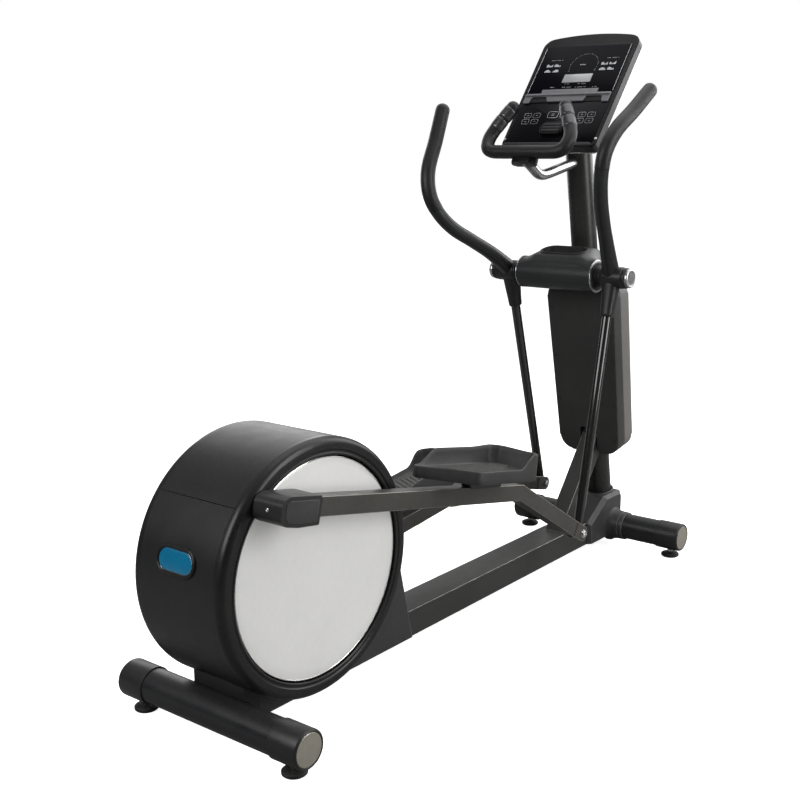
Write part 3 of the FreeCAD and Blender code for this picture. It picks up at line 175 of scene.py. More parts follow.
# Painted reflection: the mirror-finished crank disc is coloured pale to stand in for the white it reflects.
DISC_REFLECTION_PAINT = Finish(
        "disc_painted_white_reflection", "disc_coat", (0.78, 0.775, 0.765), (0.86, 0.855, 0.845), Texture.TURNED,
        roughness=0.2, spread=0.06, grain=90, depth=0.00002, edge=(0.85, 0.85, 0.84), edge_radius=0.001,
        coat=0.5, coat_roughness=0.08, dust=0.01, metallic=0.25)
INSERT_METAL = Finish(
        "brushed_cap_insert", "aluminium", (0.34, 0.315, 0.265), (0.47, 0.44, 0.385), Texture.BRUSHED,
        roughness=0.36, grain=420, depth=0.00012, metallic=0.85, edge=(0.85, 0.84, 0.8), edge_amount=0.7,
        dust=0.05, stretch=(1, 1, 0.04))
SILVER = Finish(
        "satin_silver", "silver", (0.4, 0.4, 0.41), (0.52, 0.52, 0.53), Texture.BRUSHED, roughness=0.25,
        grain=500, depth=0.00006, metallic=0.95, edge=(0.9, 0.9, 0.9), dust=0.02, stretch=(1, 0.06, 0.06))
STEEL = Finish("machined_steel", "steel", (0.4, 0.4, 0.41), (0.56, 0.56, 0.57), Texture.TURNED,
               roughness=0.28, grain=700, depth=0.00006, metallic=1.0, edge=(0.8, 0.8, 0.8), dust=0.02)
CHROME = Finish("bright_bolt", "steel", (0.62, 0.61, 0.6), (0.74, 0.73, 0.72), Texture.TURNED, roughness=0.14,
                grain=900, depth=0.00003, metallic=1.0, edge=(0.95, 0.95, 0.95), dust=0.01)
WELD = Finish("painted_weld", "frame_paint", (0.012, 0.0115, 0.011), (0.03, 0.028, 0.026), Texture.CAST,
              roughness=0.42, grain=500, depth=0.0005, edge=(0.3, 0.29, 0.27), metallic=0.3)
IRON = Finish("machined_casting", "cast_iron", (0.07, 0.07, 0.07), (0.13, 0.13, 0.128), Texture.CAST,
              roughness=0.5, grain=400, depth=0.0004, metallic=0.9, edge=(0.4, 0.4, 0.4))
BADGE_BLUE = Finish(
        "blue_badge_insert", "badge", (0.0, 0.105, 0.22), (0.0, 0.15, 0.28), Texture.ENAMEL, roughness=0.3,
        spread=0.08, grain=300, depth=0.00003, edge=(0.35, 0.6, 0.72), edge_amount=0.9, coat=0.4,
        coat_roughness=0.15, dust=0.03)
FACE_GLOSS = Finish(
        "gloss_console_face", "console_gloss", (0.002, 0.002, 0.0032), (0.004, 0.004, 0.006), Texture.GLASS,
        roughness=0.22, spread=0.05, grain=120, depth=0.00002, edge=(0.06, 0.06, 0.07), dust=0.0,
        specular=0.06)
SHELL_BLACK = Finish(
        "satin_console_shell", "black_plastic", (0.003, 0.003, 0.0038), (0.006, 0.006, 0.0075),
        roughness=0.34, grain=1500, depth=0.00007, edge=(0.1, 0.1, 0.11), dust=0.01, specular=0.12)
SHELL_GREY = Finish("grey_console_bevel", "grey_plastic", (0.013, 0.0132, 0.0145), (0.02, 0.0205, 0.022),
                    roughness=0.4, grain=1300, depth=0.00008, edge=(0.3, 0.3, 0.31), dust=0.03)
LEDGE_GREY = Finish("grey_console_ledge", "grey_plastic", (0.13, 0.13, 0.14), (0.18, 0.18, 0.19),
                    roughness=0.42, grain=1100, depth=0.0001, edge=(0.4, 0.4, 0.41), dust=0.04)
PRINT_WHITE = Finish("pale_face_print", "silver", (0.42, 0.43, 0.46), (0.55, 0.56, 0.59), Texture.ENAMEL,
                     roughness=0.5, grain=1500, depth=0.00002, edge=(0.6, 0.6, 0.6), dust=0.0)
PRINT_DIM = Finish("dim_face_print", "silver", (0.24, 0.245, 0.26), (0.33, 0.335, 0.35), Texture.ENAMEL,
                   roughness=0.5, grain=1500, depth=0.00002, edge=(0.3, 0.3, 0.3), dust=0.0)
CRYSTAL = Finish(
        "crystal_window", "display", (0.3, 0.305, 0.31), (0.38, 0.385, 0.39), Texture.GLASS, roughness=0.3,
        grain=900, depth=0.00002, edge=(0.5, 0.5, 0.5), coat=0.6, coat_roughness=0.05, dust=0.01)
SENSOR = Finish("satin_sensor_plate", "silver", (0.07, 0.07, 0.075), (0.11, 0.11, 0.115), Texture.BRUSHED,
                roughness=0.3, grain=500, depth=0.00006, metallic=0.8, edge=(0.6, 0.6, 0.6), dust=0.03)
BOARD = Finish("circuit_laminate", "board", (0.008, 0.08, 0.025), (0.015, 0.12, 0.04), Texture.ENAMEL,
               roughness=0.35, grain=350, depth=0.0001, edge=(0.2, 0.3, 0.2))


def group_socket(tree: Tree, name: str, way: str, kind: str, value: object = None) -> None:
    """Add one named socket to a node group.

    Args:
        tree: The group's tree.
        name: The socket's name.
        way: INPUT or OUTPUT.
        kind: The socket's type name.
        value: The default of an input.
    """
    made = tree.interface.new_socket(name=name, in_out=way, socket_type=kind)
    if value is not None:
        made.default_value = value


def math_node(tree: Tree, operation: str, first: object, second: object = None,
              clamp: bool = False) -> Socket:
    """Add a Math node.

    Args:
        tree: The tree to add to.
        operation: The operation's name.
        first: A socket or a number.
        second: A socket, a number or nothing.
        clamp: Whether the result is held between 0 and 1.

    Returns:
        The node's output socket.
    """
    made = tree.nodes.new("ShaderNodeMath")
    made.operation = operation
    made.use_clamp = clamp
    for index, value in enumerate((first, second)):
        if isinstance(value, Socket):
            tree.links.new(value, made.inputs[index])
        elif value is not None:
            made.inputs[index].default_value = value
    return made.outputs[0]


def mix_colours(tree: Tree, share: object, first: object, second: object) -> Socket:
    """Add a colour Mix node.

    Args:
        tree: The tree to add to.
        share: The share of the second colour, a socket or a number.
        first: A colour socket or three numbers.
        second: A colour socket or three numbers.

    Returns:
        The mixed colour's socket.
    """
    made = tree.nodes.new("ShaderNodeMix")
    made.data_type = "RGBA"
    for socket, value in ((made.inputs[0], share), (made.inputs[6], first), (made.inputs[7], second)):
        if isinstance(value, Socket):
            tree.links.new(value, socket)
        elif isinstance(value, tuple):
            socket.default_value = (*value, 1.0)
        else:
            socket.default_value = value
    return made.outputs[2]


class EffectGroups:
    """The effects that many finishes share, each a node group made once."""

    def __init__(self) -> None:
        """Make the groups."""
        self.edges = self._edges()
        self.relief = self._relief()
        self.dust = self._dust()
        self.drift = self._drift()

    @staticmethod
    def _start(name: str, inputs: dict[str, object], outputs: dict[str, str]) -> tuple[Tree, bpy.types.Node,
                                                                                       bpy.types.Node]:
        """Start a node group.

        Args:
            name: The group's name.
            inputs: Each input's default number, or its kind when it has none.
            outputs: Each output's kind.

        Returns:
            The tree with its input and output nodes.
        """
        tree = bpy.data.node_groups.new(name, "ShaderNodeTree")
        ends = tree.nodes.new("NodeGroupInput"), tree.nodes.new("NodeGroupOutput")
        for label, value in inputs.items():
            plain = not isinstance(value, str)
            group_socket(tree, label, "INPUT", "NodeSocket" + ("Float" if plain else value),
                         value if plain else None)
        for label, kind in outputs.items():
            group_socket(tree, label, "OUTPUT", "NodeSocket" + kind)
        return (tree, *ends)

    @staticmethod
    def _noise(tree: Tree, place: Socket, scale: object, detail: float, rough: float = 0.5) -> Socket:
        """Add a noise texture.

        Args:
            tree: The tree to add to.
            place: The coordinates.
            scale: Grains in a metre, a socket or a number.
            detail: The number of octaves.
            rough: The weight of the finer octaves.

        Returns:
            The value socket.
        """
        made = tree.nodes.new("ShaderNodeTexNoise")
        tree.links.new(place, made.inputs["Vector"])
        if isinstance(scale, Socket):
            tree.links.new(scale, made.inputs["Scale"])
        else:
            made.inputs["Scale"].default_value = scale
        made.inputs["Detail"].default_value = detail
        made.inputs["Roughness"].default_value = rough
        return made.outputs["Fac"]

    def _edges(self) -> Tree:
        """Build the rounded edge effect, whose mask lightens edges: partly wear, partly a painted highlight.

        Returns:
            The group, which puts out an edge mask and a rounded normal.
        """
        tree, inward, outward = self._start(
                "wear_and_painted_highlight_edges", {"Place": "Vector", "Radius": 0.002, "Amount": 0.5},
                {"Mask": "Float", "Normal": "Vector"})
        bevel = tree.nodes.new("ShaderNodeBevel")
        bevel.samples = 4
        tree.links.new(inward.outputs["Radius"], bevel.inputs["Radius"])
        geometry = tree.nodes.new("ShaderNodeNewGeometry")
        turn = tree.nodes.new("ShaderNodeVectorMath")
        turn.operation = "DOT_PRODUCT"
        tree.links.new(bevel.outputs[0], turn.inputs[0])
        tree.links.new(geometry.outputs["Normal"], turn.inputs[1])
        bend = math_node(tree, "SUBTRACT", 1.0, turn.outputs["Value"])
        strong = math_node(tree, "MULTIPLY", bend, 9.0, clamp=True)
        patches = self._noise(tree, inward.outputs["Place"], 26.0, 3.0)
        patchy = math_node(tree, "ADD", math_node(tree, "MULTIPLY", patches, 0.9), 0.25, clamp=True)
        wear_and_highlight = math_node(
                tree, "MULTIPLY", math_node(tree, "MULTIPLY", strong, patchy), inward.outputs["Amount"])
        tree.links.new(wear_and_highlight, outward.inputs["Mask"])
        tree.links.new(bevel.outputs[0], outward.inputs["Normal"])
        return tree

    def _relief(self) -> Tree:
        """Build the small relief of moulded, sprayed, brushed or foamed skin.

        Returns:
            The group, which puts out a height and a slower value for roughness.
        """
        tree, inward, outward = self._start(
                "skin_relief", {"Place": "Vector", "Grain": 900.0, "Cells": 0.0},
                {"Height": "Float", "Slow": "Float"})
        fine = self._noise(tree, inward.outputs["Place"], inward.outputs["Grain"], 3.0, 0.6)
        cells = tree.nodes.new("ShaderNodeTexVoronoi")
        tree.links.new(inward.outputs["Place"], cells.inputs["Vector"])
        tree.links.new(inward.outputs["Grain"], cells.inputs["Scale"])
        pitted = math_node(tree, "MULTIPLY", cells.outputs["Distance"], inward.outputs["Cells"])
        height = math_node(tree, "ADD", fine, pitted)
        slow = self._noise(tree, inward.outputs["Place"], 14.0, 4.0, 0.62)
        tree.links.new(height, outward.inputs["Height"])
        tree.links.new(slow, outward.inputs["Slow"])
        return tree

    def _dust(self) -> Tree:
        """Build the thin dust that settles on surfaces facing up.

        Returns:
            The group, which puts out a mask.
        """
        tree, inward, outward = self._start(
                "settled_dust", {"Place": "Vector", "Amount": 0.1}, {"Mask": "Float"})
        geometry = tree.nodes.new("ShaderNodeNewGeometry")
        split = tree.nodes.new("ShaderNodeSeparateXYZ")
        tree.links.new(geometry.outputs["Normal"], split.inputs[0])
        facing_up = math_node(tree, "POWER", math_node(tree, "MAXIMUM", split.outputs["Z"], 0.0), 2.0)
        specks = self._noise(tree, inward.outputs["Place"], 160.0, 6.0, 0.7)
        grains = math_node(tree, "MULTIPLY", math_node(tree, "SUBTRACT", specks, 0.35), 2.2, clamp=True)
        mask = math_node(
                tree, "MULTIPLY", math_node(tree, "MULTIPLY", facing_up, grains), inward.outputs["Amount"])
        tree.links.new(mask, outward.inputs["Mask"])
        return tree

    def _drift(self) -> Tree:
        """Build the slow drift between two tones of one colour.

        Returns:
            The group, which puts out a colour.
        """
        tree, inward, outward = self._start(
                "tone_drift", {"Place": "Vector", "First": "Color", "Second": "Color"}, {"Colour": "Color"})
        broad = self._noise(tree, inward.outputs["Place"], 5.0, 3.0)
        close = self._noise(tree, inward.outputs["Place"], 70.0, 5.0, 0.65)
        share = math_node(
                tree, "ADD", math_node(tree, "MULTIPLY", broad, 0.6), math_node(tree, "MULTIPLY", close, 0.4))
        wide = math_node(tree, "ADD", math_node(tree, "MULTIPLY", share, 2.4), -0.7, clamp=True)
        tree.links.new(mix_colours(tree, wide, inward.outputs["First"], inward.outputs["Second"]),
                       outward.inputs["Colour"])
        return tree


class FinishShop:
    """Makes each finish's material once, from the shared effects."""

    CELLS: dict[Texture, float] = {Texture.FOAM: 1.4, Texture.CAST: 0.9, Texture.MOULDED: 0.5}

    def __init__(self) -> None:
        """Set up the effects and an empty rack."""
        self.effects = EffectGroups()
        self.rack: dict[str, bpy.types.Material] = {}

    def _place(self, tree: Tree, finish: Finish) -> tuple[Socket, Socket]:
        """Return the plain coordinates and the ones stretched along the brushing."""
        where = tree.nodes.new("ShaderNodeTexCoord")
        spread = tree.nodes.new("ShaderNodeMapping")
        spread.inputs["Scale"].default_value = finish.stretch
        tree.links.new(where.outputs["Object"], spread.inputs["Vector"])
        return where.outputs["Object"], spread.outputs["Vector"]

    def _effect(self, tree: Tree, group: Tree, place: Socket, **values: object) -> bpy.types.Node:
        """Place one shared effect in a material.

        Args:
            tree: The material's tree.
            group: The effect's group.
            place: The coordinates it reads.
            **values: The values of its other inputs, by name.

        Returns:
            The group node.
        """
        made = tree.nodes.new("ShaderNodeGroup")
        made.node_tree = group
        tree.links.new(place, made.inputs["Place"])
        for name, value in values.items():
            made.inputs[name].default_value = value
        return made

    def material(self, finish: Finish) -> bpy.types.Material:
        """Return the material of a finish, made on first use.

        Args:
            finish: The finish wanted.

        Returns:
            The material.
        """
        if finish.name in self.rack:
            return self.rack[finish.name]
        made = bpy.data.materials.new(finish.name)
        made.use_nodes = True
        tree = made.node_tree
        shader = next(n for n in tree.nodes if n.type == "BSDF_PRINCIPLED")
        plain, brushed = self._place(tree, finish)
        tone = self._effect(
                tree, self.effects.drift, plain, First=(*finish.base, 1.0), Second=(*finish.second, 1.0))
        edges = self._effect(
                tree, self.effects.edges, plain, Radius=finish.edge_radius, Amount=finish.edge_amount)
        relief = self._effect(tree, self.effects.relief, brushed, Grain=finish.grain,
                              Cells=self.CELLS.get(finish.texture, 0.0))
        dust = self._effect(tree, self.effects.dust, plain, Amount=finish.dust)
        # Painted highlight, partly wear: edges are mixed towards the finish's lighter edge colour.
        wear_and_highlight = mix_colours(tree, edges.outputs["Mask"], tone.outputs["Colour"], finish.edge)
        dusty = mix_colours(tree, dust.outputs["Mask"], wear_and_highlight, (0.33, 0.32, 0.3))
        tree.links.new(dusty, shader.inputs["Base Color"])
        swing = math_node(
                tree, "MULTIPLY", math_node(tree, "SUBTRACT", relief.outputs["Slow"], 0.5), finish.spread * 2)
        dusted = math_node(tree, "MULTIPLY", dust.outputs["Mask"], 0.4)
        rough = math_node(tree, "ADD", math_node(tree, "ADD", swing, finish.roughness), dusted, clamp=True)
        tree.links.new(rough, shader.inputs["Roughness"])
        bump = tree.nodes.new("ShaderNodeBump")
        bump.inputs["Strength"].default_value = 0.6
        bump.inputs["Distance"].default_value = finish.depth
        tree.links.new(relief.outputs["Height"], bump.inputs["Height"])
        tree.links.new(edges.outputs["Normal"], bump.inputs["Normal"])
        tree.links.new(bump.outputs["Normal"], shader.inputs["Normal"])
        shader.inputs["Metallic"].default_value = finish.metallic
        shader.inputs["Specular IOR Level"].default_value = finish.specular
        shader.inputs["Coat Weight"].default_value = finish.coat
        shader.inputs["Coat Roughness"].default_value = finish.coat_roughness
        made.diffuse_color = (*finish.base, 1.0)
        self.rack[finish.name] = made
        return made

    def dress(self, piece: Piece, finish: Finish) -> Piece:
        """Give a piece its finish.

        Args:
            piece: The piece.
            finish: Its finish.

        Returns:
            The piece.
        """
        piece.data.materials.clear()
        piece.data.materials.append(self.material(finish))
        return piece


# ------------------------------------------------------------------ shaping


def smooth_line(points: Sequence[Vector], per_span: int = 10) -> list[Vector]:
    """Run a smooth line through a bar's stations.

    Args:
        points: The stations.
        per_span: The number of steps between two stations.

    Returns:
        The points along the line.
    """
    ends = [points[0] * 2 - points[1], *points, points[-1] * 2 - points[-2]]
    line = []
    for index in range(1, len(ends) - 2):
        a, b, c, d = ends[index - 1:index + 3]
        for step in range(per_span):
            t = step / per_span
            line.append(0.5 * (2 * b + (c - a) * t + (2 * a - 5 * b + 4 * c - d) * t * t
                               + (3 * b - a - 3 * c + d) * t ** 3))
    line.append(points[-1].copy())
    return line


def line_length(line: Sequence[Vector]) -> float:
    """Return the length of a line of points."""
    return sum((b - a).length for a, b in zip(line, line[1:]))


def cut_line(line: Sequence[Vector], start: float, end: float) -> list[Vector]:
    """Take the stretch of a line between two lengths along it.

    Args:
        line: The points of the line.
        start: Where the stretch begins, in metres along the line.
        end: Where it ends.

    Returns:
        The points of the stretch.
    """
    kept, travelled = [], 0.0
    for a, b in zip(line, line[1:]):
        step = (b - a).length
        for mark in (start, end):
            if travelled <= mark < travelled + step:
                kept.append(a.lerp(b, (mark - travelled) / step))
        if start < travelled + step < end:
            kept.append(b.copy())
        travelled += step
    if end >= travelled:
        kept.append(line[-1].copy())
    return kept


def round_corners(corners: Sequence[tuple[float, float, float]], steps: int = 6) -> list[Point2]:
    """Round the corners of a flat outline.

    Args:
        corners: The corners, each with its x, y and radius.
        steps: The number of segments in each rounded corner.

    Returns:
        The outline's points.
    """
    outline: list[Point2] = []
    count = len(corners)
    for index, (x, y, radius) in enumerate(corners):
        here = Vector((x, y))
        back = (Vector(corners[index - 1][:2]) - here).normalized()
        ahead = (Vector(corners[(index + 1) % count][:2]) - here).normalized()
        half = back.angle(ahead) / 2
        if radius <= 0 or half > math.radians(89):
            outline.append((x, y))
            continue
        reach = radius / math.tan(half)
        centre = here + (back + ahead).normalized() * (radius / math.sin(half))
        first, last = here + back * reach - centre, here + ahead * reach - centre
        sweep = first.angle_signed(last)
        for step in range(steps + 1):
            turned = Matrix.Rotation(-sweep * step / steps, 2) @ first
            outline.append((centre.x + turned.x, centre.y + turned.y))
    return outline


def oval(width: float, height: float, middle: Point2 = (0.0, 0.0), corner: Optional[float] = None,
         steps: int = 8) -> list[Point2]:
    """Return a rectangle with rounded corners, or a racetrack when no corner radius is given."""
    x, y = width / 2, height / 2
    radius = min(x, y) * 0.999 if corner is None else corner
    return round_corners(
            [(middle[0] - x, middle[1] - y, radius), (middle[0] + x, middle[1] - y, radius),
             (middle[0] + x, middle[1] + y, radius), (middle[0] - x, middle[1] + y, radius)], steps)


def crossing_basis(axis: Vector) -> tuple[Vector, Vector]:
    """Return two directions square to an axis and to each other."""
    first = axis.orthogonal().normalized()
    return first, axis.cross(first).normalized()


class Maker:
    """Makes meshes in the machine's own frame, dresses them and sets them riding."""

    def __init__(self, shop: FinishShop) -> None:
        """Keep the shop that makes the finishes."""
        self.shop = shop

    def from_mesh(self, name: str, build: Callable[[Work], None], finish: Finish, body: str,
                  place: Matrix = Matrix.Identity(4), sharp: float = 32.0) -> Piece:
        """Make a piece from a bmesh.

        Args:
            name: The piece's name.
            build: Fills the bmesh in the piece's own frame.
            finish: The finish.
            body: The body that it rides on.
            place: The piece's frame in the machine's frame.
            sharp: The angle in degrees above which an edge stays crisp.

        Returns:
            The piece.
        """
        work = bmesh.new()
        build(work)
        bmesh.ops.remove_doubles(work, verts=work.verts, dist=1e-6)
        bmesh.ops.recalc_face_normals(work, faces=work.faces)
        bmesh.ops.transform(work, matrix=place, verts=work.verts)
        mesh = bpy.data.meshes.new(name)
        work.to_mesh(mesh)
        work.free()
        for face in mesh.polygons:
            face.use_smooth = True
        mesh.set_sharp_from_angle(angle=math.radians(sharp))
        piece = bpy.data.objects.new(name, mesh)
        bpy.context.scene.collection.objects.link(piece)
        self.shop.dress(piece, finish)
        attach(piece, body)
        LOG.info("%s rides on %s with %s", name, body, finish.name)
        return piece

    def lathe(self, name: str, profile: Sequence[Point2], start: Vector, axis: Vector, finish: Finish,
              body: str, steps: int = 72, closed: bool = False) -> Piece:
        """Turn a profile round an axis.

        Args:
            name: The piece's name.
            profile: Pairs of distance along the axis and radius.
            start: A point on the axis.
            axis: The axis' direction.
            finish: The finish.
            body: The body that it rides on.
            steps: The number of segments round the axis.
            closed: Whether the profile is a loop, as for a ring.

        Returns:
            The piece.
        """
        along = axis.normalized()
        first, second = crossing_basis(along)

        def build(work: Work) -> None:
            """Fill the bmesh with rings of the profile."""
            rings = []
            for distance, radius in profile:
                centre = start + along * distance
                if radius < 1e-7:
                    rings.append([work.verts.new(centre)])
                    continue
                rings.append([work.verts.new(centre + (first * math.cos(a) + second * math.sin(a)) * radius)
                              for a in (math.tau * i / steps for i in range(steps))])
            pairs = list(zip(rings, rings[1:]))
            if closed:
                pairs.append((rings[-1], rings[0]))
            for low, high in pairs:
                skin_rings(work, low, high)

        return self.from_mesh(name, build, finish, body)

    def tube(self, name: str, line: Sequence[Vector], radius: Callable[[float], float], finish: Finish,
             body: str, place: Matrix = Matrix.Identity(4), sides: int = 36, squash: float = 1.0) -> Piece:
        """Sweep a round bar along a line, with closed ends.

        Args:
            name: The piece's name.
            line: The points of the line.
            radius: The radius at a share from 0 to 1 of the length.
            finish: The finish.
            body: The body that it rides on.
            place: The line's frame in the machine's frame.
            sides: The number of segments round the bar.
            squash: How much lower than wide the section is.

        Returns:
            The piece.
        """
        total = line_length(line)

        def build(work: Work) -> None:
            """Fill the bmesh with rings carried along the line without twist."""
            travelled, rings = 0.0, []
            way = (line[1] - line[0]).normalized()
            side = crossing_basis(way)[0]
            for index, point in enumerate(line):
                ahead = line[min(index + 1, len(line) - 1)] - line[max(index - 1, 0)]
                way = ahead.normalized()
                side = (side - way * side.dot(way)).normalized()
                other = way.cross(side)
                if index:
                    travelled += (point - line[index - 1]).length
                size = radius(travelled / total)
                rings.append([work.verts.new(point + (side * math.cos(a)
                                                      + other * math.sin(a) * squash) * size)
                              for a in (math.tau * i / sides for i in range(sides))])
            skin_all(work, rings)
            work.faces.new(rings[0])
            work.faces.new(rings[-1])

        return self.from_mesh(name, build, finish, body, place, sharp=45.0)

    def slab(self, name: str, outline: Sequence[Point2], low: float, high: float, finish: Finish, body: str,
             place: Matrix = Matrix.Identity(4), edge: float = 0.0015, steps: int = 3,
             sharp: float = 32.0) -> Piece:
        """Raise a flat outline into a plate with rounded edges.

        Args:
            name: The piece's name.
            outline: The outline's points, x and y in the piece's frame.
            low: The z of its lower face.
            high: The z of its upper face.
            finish: The finish.
            body: The body that it rides on.
            place: The piece's frame in the machine's frame.
            edge: The radius of the rounded edges.
            steps: The number of segments across a rounded edge.
            sharp: The angle in degrees above which an edge stays crisp.

        Returns:
            The piece.
        """

        def build(work: Work) -> None:
            """Fill the bmesh with the plate."""
            fill_slab(work, outline, low, high, edge, steps)

        return self.from_mesh(name, build, finish, body, place, sharp)


def skin_rings(work: Work, low: list, high: list) -> None:
    """Join two rings of vertices, either of which may be a single point, with faces."""
    if len(low) == 1 and len(high) == 1:
        return
    count = max(len(low), len(high))
    for i in range(count):
        j = (i + 1) % count
        corners = [low[i % len(low)], low[j % len(low)], high[j % len(high)], high[i % len(high)]]
        unique = list(dict.fromkeys(corners))
        work.faces.new(unique)


def skin_all(work: Work, rings: Sequence[list]) -> None:
    """Skin each pair of neighbouring rings."""
    for low, high in zip(rings, rings[1:]):
        skin_rings(work, low, high)


def fill_slab(work: Work, outline: Sequence[Point2], low: float, high: float, edge: float,
              steps: int) -> None:
    """Add a plate with rounded upper and lower edges to a bmesh.

    Args:
        work: The bmesh.
        outline: The outline's points.
        low: The z of the lower face.
        high: The z of the upper face.
        edge: The radius of the edges.
        steps: The number of segments across an edge.
    """
    base = [work.verts.new((x, y, low)) for x, y in outline]
    top = [work.verts.new((x, y, high)) for x, y in outline]
    faces = [work.faces.new(base[::-1]), work.faces.new(top)]
    count = len(outline)
    faces += [work.faces.new((base[i], base[(i + 1) % count], top[(i + 1) % count], top[i]))
              for i in range(count)]
    if edge > 0:
        rims = [e for face in faces[:2] for e in face.edges]
        bmesh.ops.bevel(
                work, geom=rims, offset=edge, segments=steps, profile=0.5, affect="EDGES", clamp_overlap=True)


def frame_matrix(origin: Vector, x: Vector, y: Vector, z: Vector) -> Matrix:
    """Return the matrix of a frame from its origin and three axes."""
    made = Matrix((x, y, z)).transposed().to_4x4()
    made.translation = origin
    return made


def centre_of(node: str) -> Vector:
    """Return the middle of a CAD node's box."""
    low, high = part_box(node)
    return (low + high) / 2


def mm(*values: float) -> Vector:
    """Return a point given in millimetres."""
    return Vector(values) * 0.001


# ------------------------------------------------------------------ frame nodes that keep their shape


CAD_FINISHES: dict[Finish, tuple[str, ...]] = {
        DRUM_SKIN: ("drum_cover_upper", "drum_cover_lower"), RIM_SKIN: ("drum_rims",),
        COVER_SKIN: ("beam_fairing",), BEAM_PAINT: ("main_beam", "mast_brace"),
        # The foot links take the lighter paint, which is painted light.
        LIT_LINK_PAINT: ("foot_link_right", "foot_link_left"), MAST_PAINT: ("lower_mast", "upper_mast"),
        TUBE_PAINT: ("rear_stabilizer_tube", "front_stabilizer_tube", "drive_frame"),
        GLOSS_PAINT: ("lower_arm_right", "lower_arm_left"), SILVER: ("grip_support",),
        STEEL: ("crank_axle", "crank_arms", "pivot_axle", "drive_bearings", "flywheel_shaft",
                "crank_pin_right", "crank_pin_left", "lower_pivot_bolt_right", "lower_pivot_bolt_left",
                "pivot_spacers"), IRON: ("flywheel", "magnetic_brake"),
        RUBBER: ("drive_belt", "shroud_screws"), HUB_SKIN: ("drive_pulley",), BOARD: ("circuit_board",), }


def dress_frame(shop: FinishShop, nodes: dict[str, Piece]) -> None:
    """Give each CAD node that stays in view its finish.

    Args:
        shop: The finish shop.
        nodes: The CAD nodes by name.
    """
    for finish, names in CAD_FINISHES.items():
        for name in names:
            shop.dress(nodes[name], finish)
            LOG.info("%s keeps its shape, finished with %s", name, finish.name)


# ------------------------------------------------------------------ sub-assemblies


@dataclass
class Stabilizers:
    """The end caps, inserts and levelling feet of the two cross tubes."""

    maker: Maker
    cap_radius: float = 0.0462
    cap_length: float = 0.086
    insert_radius: float = 0.039
    foot_radius: float = 0.0296

    def build(self) -> None:
        """Build the caps and feet at all four ends."""
        caps, inserts = [], []
        for end in ("rear", "front"):
            low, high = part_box(end + "_stabilizer_tube")
            middle = (low + high) / 2
            reach = 0.2975 if end == "rear" else 0.325
            for side, sign in SIDES.items():
                out = Vector((sign, 0, 0))
                tip = Vector((sign * reach, middle.y, centre_of("end_cap_inserts").z))
                caps.append(self._cap(f"end_cap_{end}_{side}", tip, out))
                inserts.append(self._insert(f"cap_insert_{end}_{side}", tip, out))
                self._foot(end, side)
        for cap in caps:
            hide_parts("stabilizer_end_caps")
        for insert in inserts:
            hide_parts("end_cap_inserts")

    def _cap(self, name: str, tip: Vector, out: Vector) -> Piece:
        """Turn one end cap, open towards the tube.

        Args:
            name: The piece's name.
            tip: The middle of its outer face.
            out: The way it faces.

        Returns:
            The cap.
        """
        r, deep = self.cap_radius, self.cap_length
        profile = [(-deep, r - 0.003), (-deep, r - 0.0012), (-deep + 0.0012, r), (-0.0058, r),
                   (-0.0036, r - 0.0006), (-0.0015, r - 0.0021), (-0.0004, r - 0.0042), (0.0, r - 0.0058),
                   (-0.0006, self.insert_radius + 0.0003), (-0.0035, self.insert_radius),
                   (-0.0035, self.insert_radius - 0.004), (-0.008, 0.0)]
        return self.maker.lathe(name, profile, tip, out, HUB_SKIN, "frame", steps=96)

    def _insert(self, name: str, tip: Vector, out: Vector) -> Piece:
        """Turn one brushed disc with a rolled edge, let into its cap."""
        r = self.insert_radius
        profile = [(-0.0034, r - 0.0002), (-0.0016, r - 0.0002), (-0.0009, r - 0.0012), (-0.001, r - 0.003),
                   (-0.0006, r * 0.5), (-0.0005, 0.0)]
        return self.maker.lathe(name, profile, tip, out, INSERT_METAL, "frame", steps=96)

    def _foot(self, end: str, side: str) -> None:
        """Build one levelling foot: tread pad, steel stem with its thread, and lock nut.

        Args:
            end: Which cross tube.
            side: Which side.
        """
        node = f"levelling_foot_{end}_{side}"
        body = f"foot_{end}_{side}"
        low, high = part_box(node)
        base = Vector(((low.x + high.x) / 2, (low.y + high.y) / 2, low.z))
        up, r = Vector((0, 0, 1)), self.foot_radius
        ribs: list[Point2] = [(0.0, 0.0), (0.0, r - 0.004), (0.0008, r - 0.0025), (0.0028, r - 0.0004)]
        for step in range(3):
            height = 0.0036 + step * 0.0022
            ribs += [(height, r), (height + 0.0012, r), (height + 0.0016, r - 0.0009),
                     (height + 0.002, r - 0.0009)]
        ribs += [(0.0108, r - 0.0016), (0.0128, r - 0.0062), (0.014, r - 0.0105), (0.0142, 0.0122),
                 (0.0152, 0.0112), (0.0162, 0.0098), (0.0162, 0.0)]
        pad = self.maker.lathe(f"foot_pad_{end}_{side}", ribs, base, up, RUBBER, body, steps=72)
        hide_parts(node)
        thread: list[Point2] = [(0.016, 0.0)]
        turns = 26
        for turn in range(turns):
            height = 0.016 + turn * 0.00175
            thread += [(height, 0.0043), (height + 0.0008, 0.005)]
        thread += [(0.0615, 0.0043), (0.062, 0.0)]
        self.maker.lathe(f"foot_stem_{end}_{side}", thread, base, up, STEEL, body, steps=28)
        corners = [(0.0105 * math.cos(math.tau * i / 6), 0.0105 * math.sin(math.tau * i / 6))
                   for i in range(6)]
        self.maker.slab(f"foot_nut_{end}_{side}", corners, 0.0163, 0.0215, STEEL, body,
                        Matrix.Translation(base), edge=0.0007)


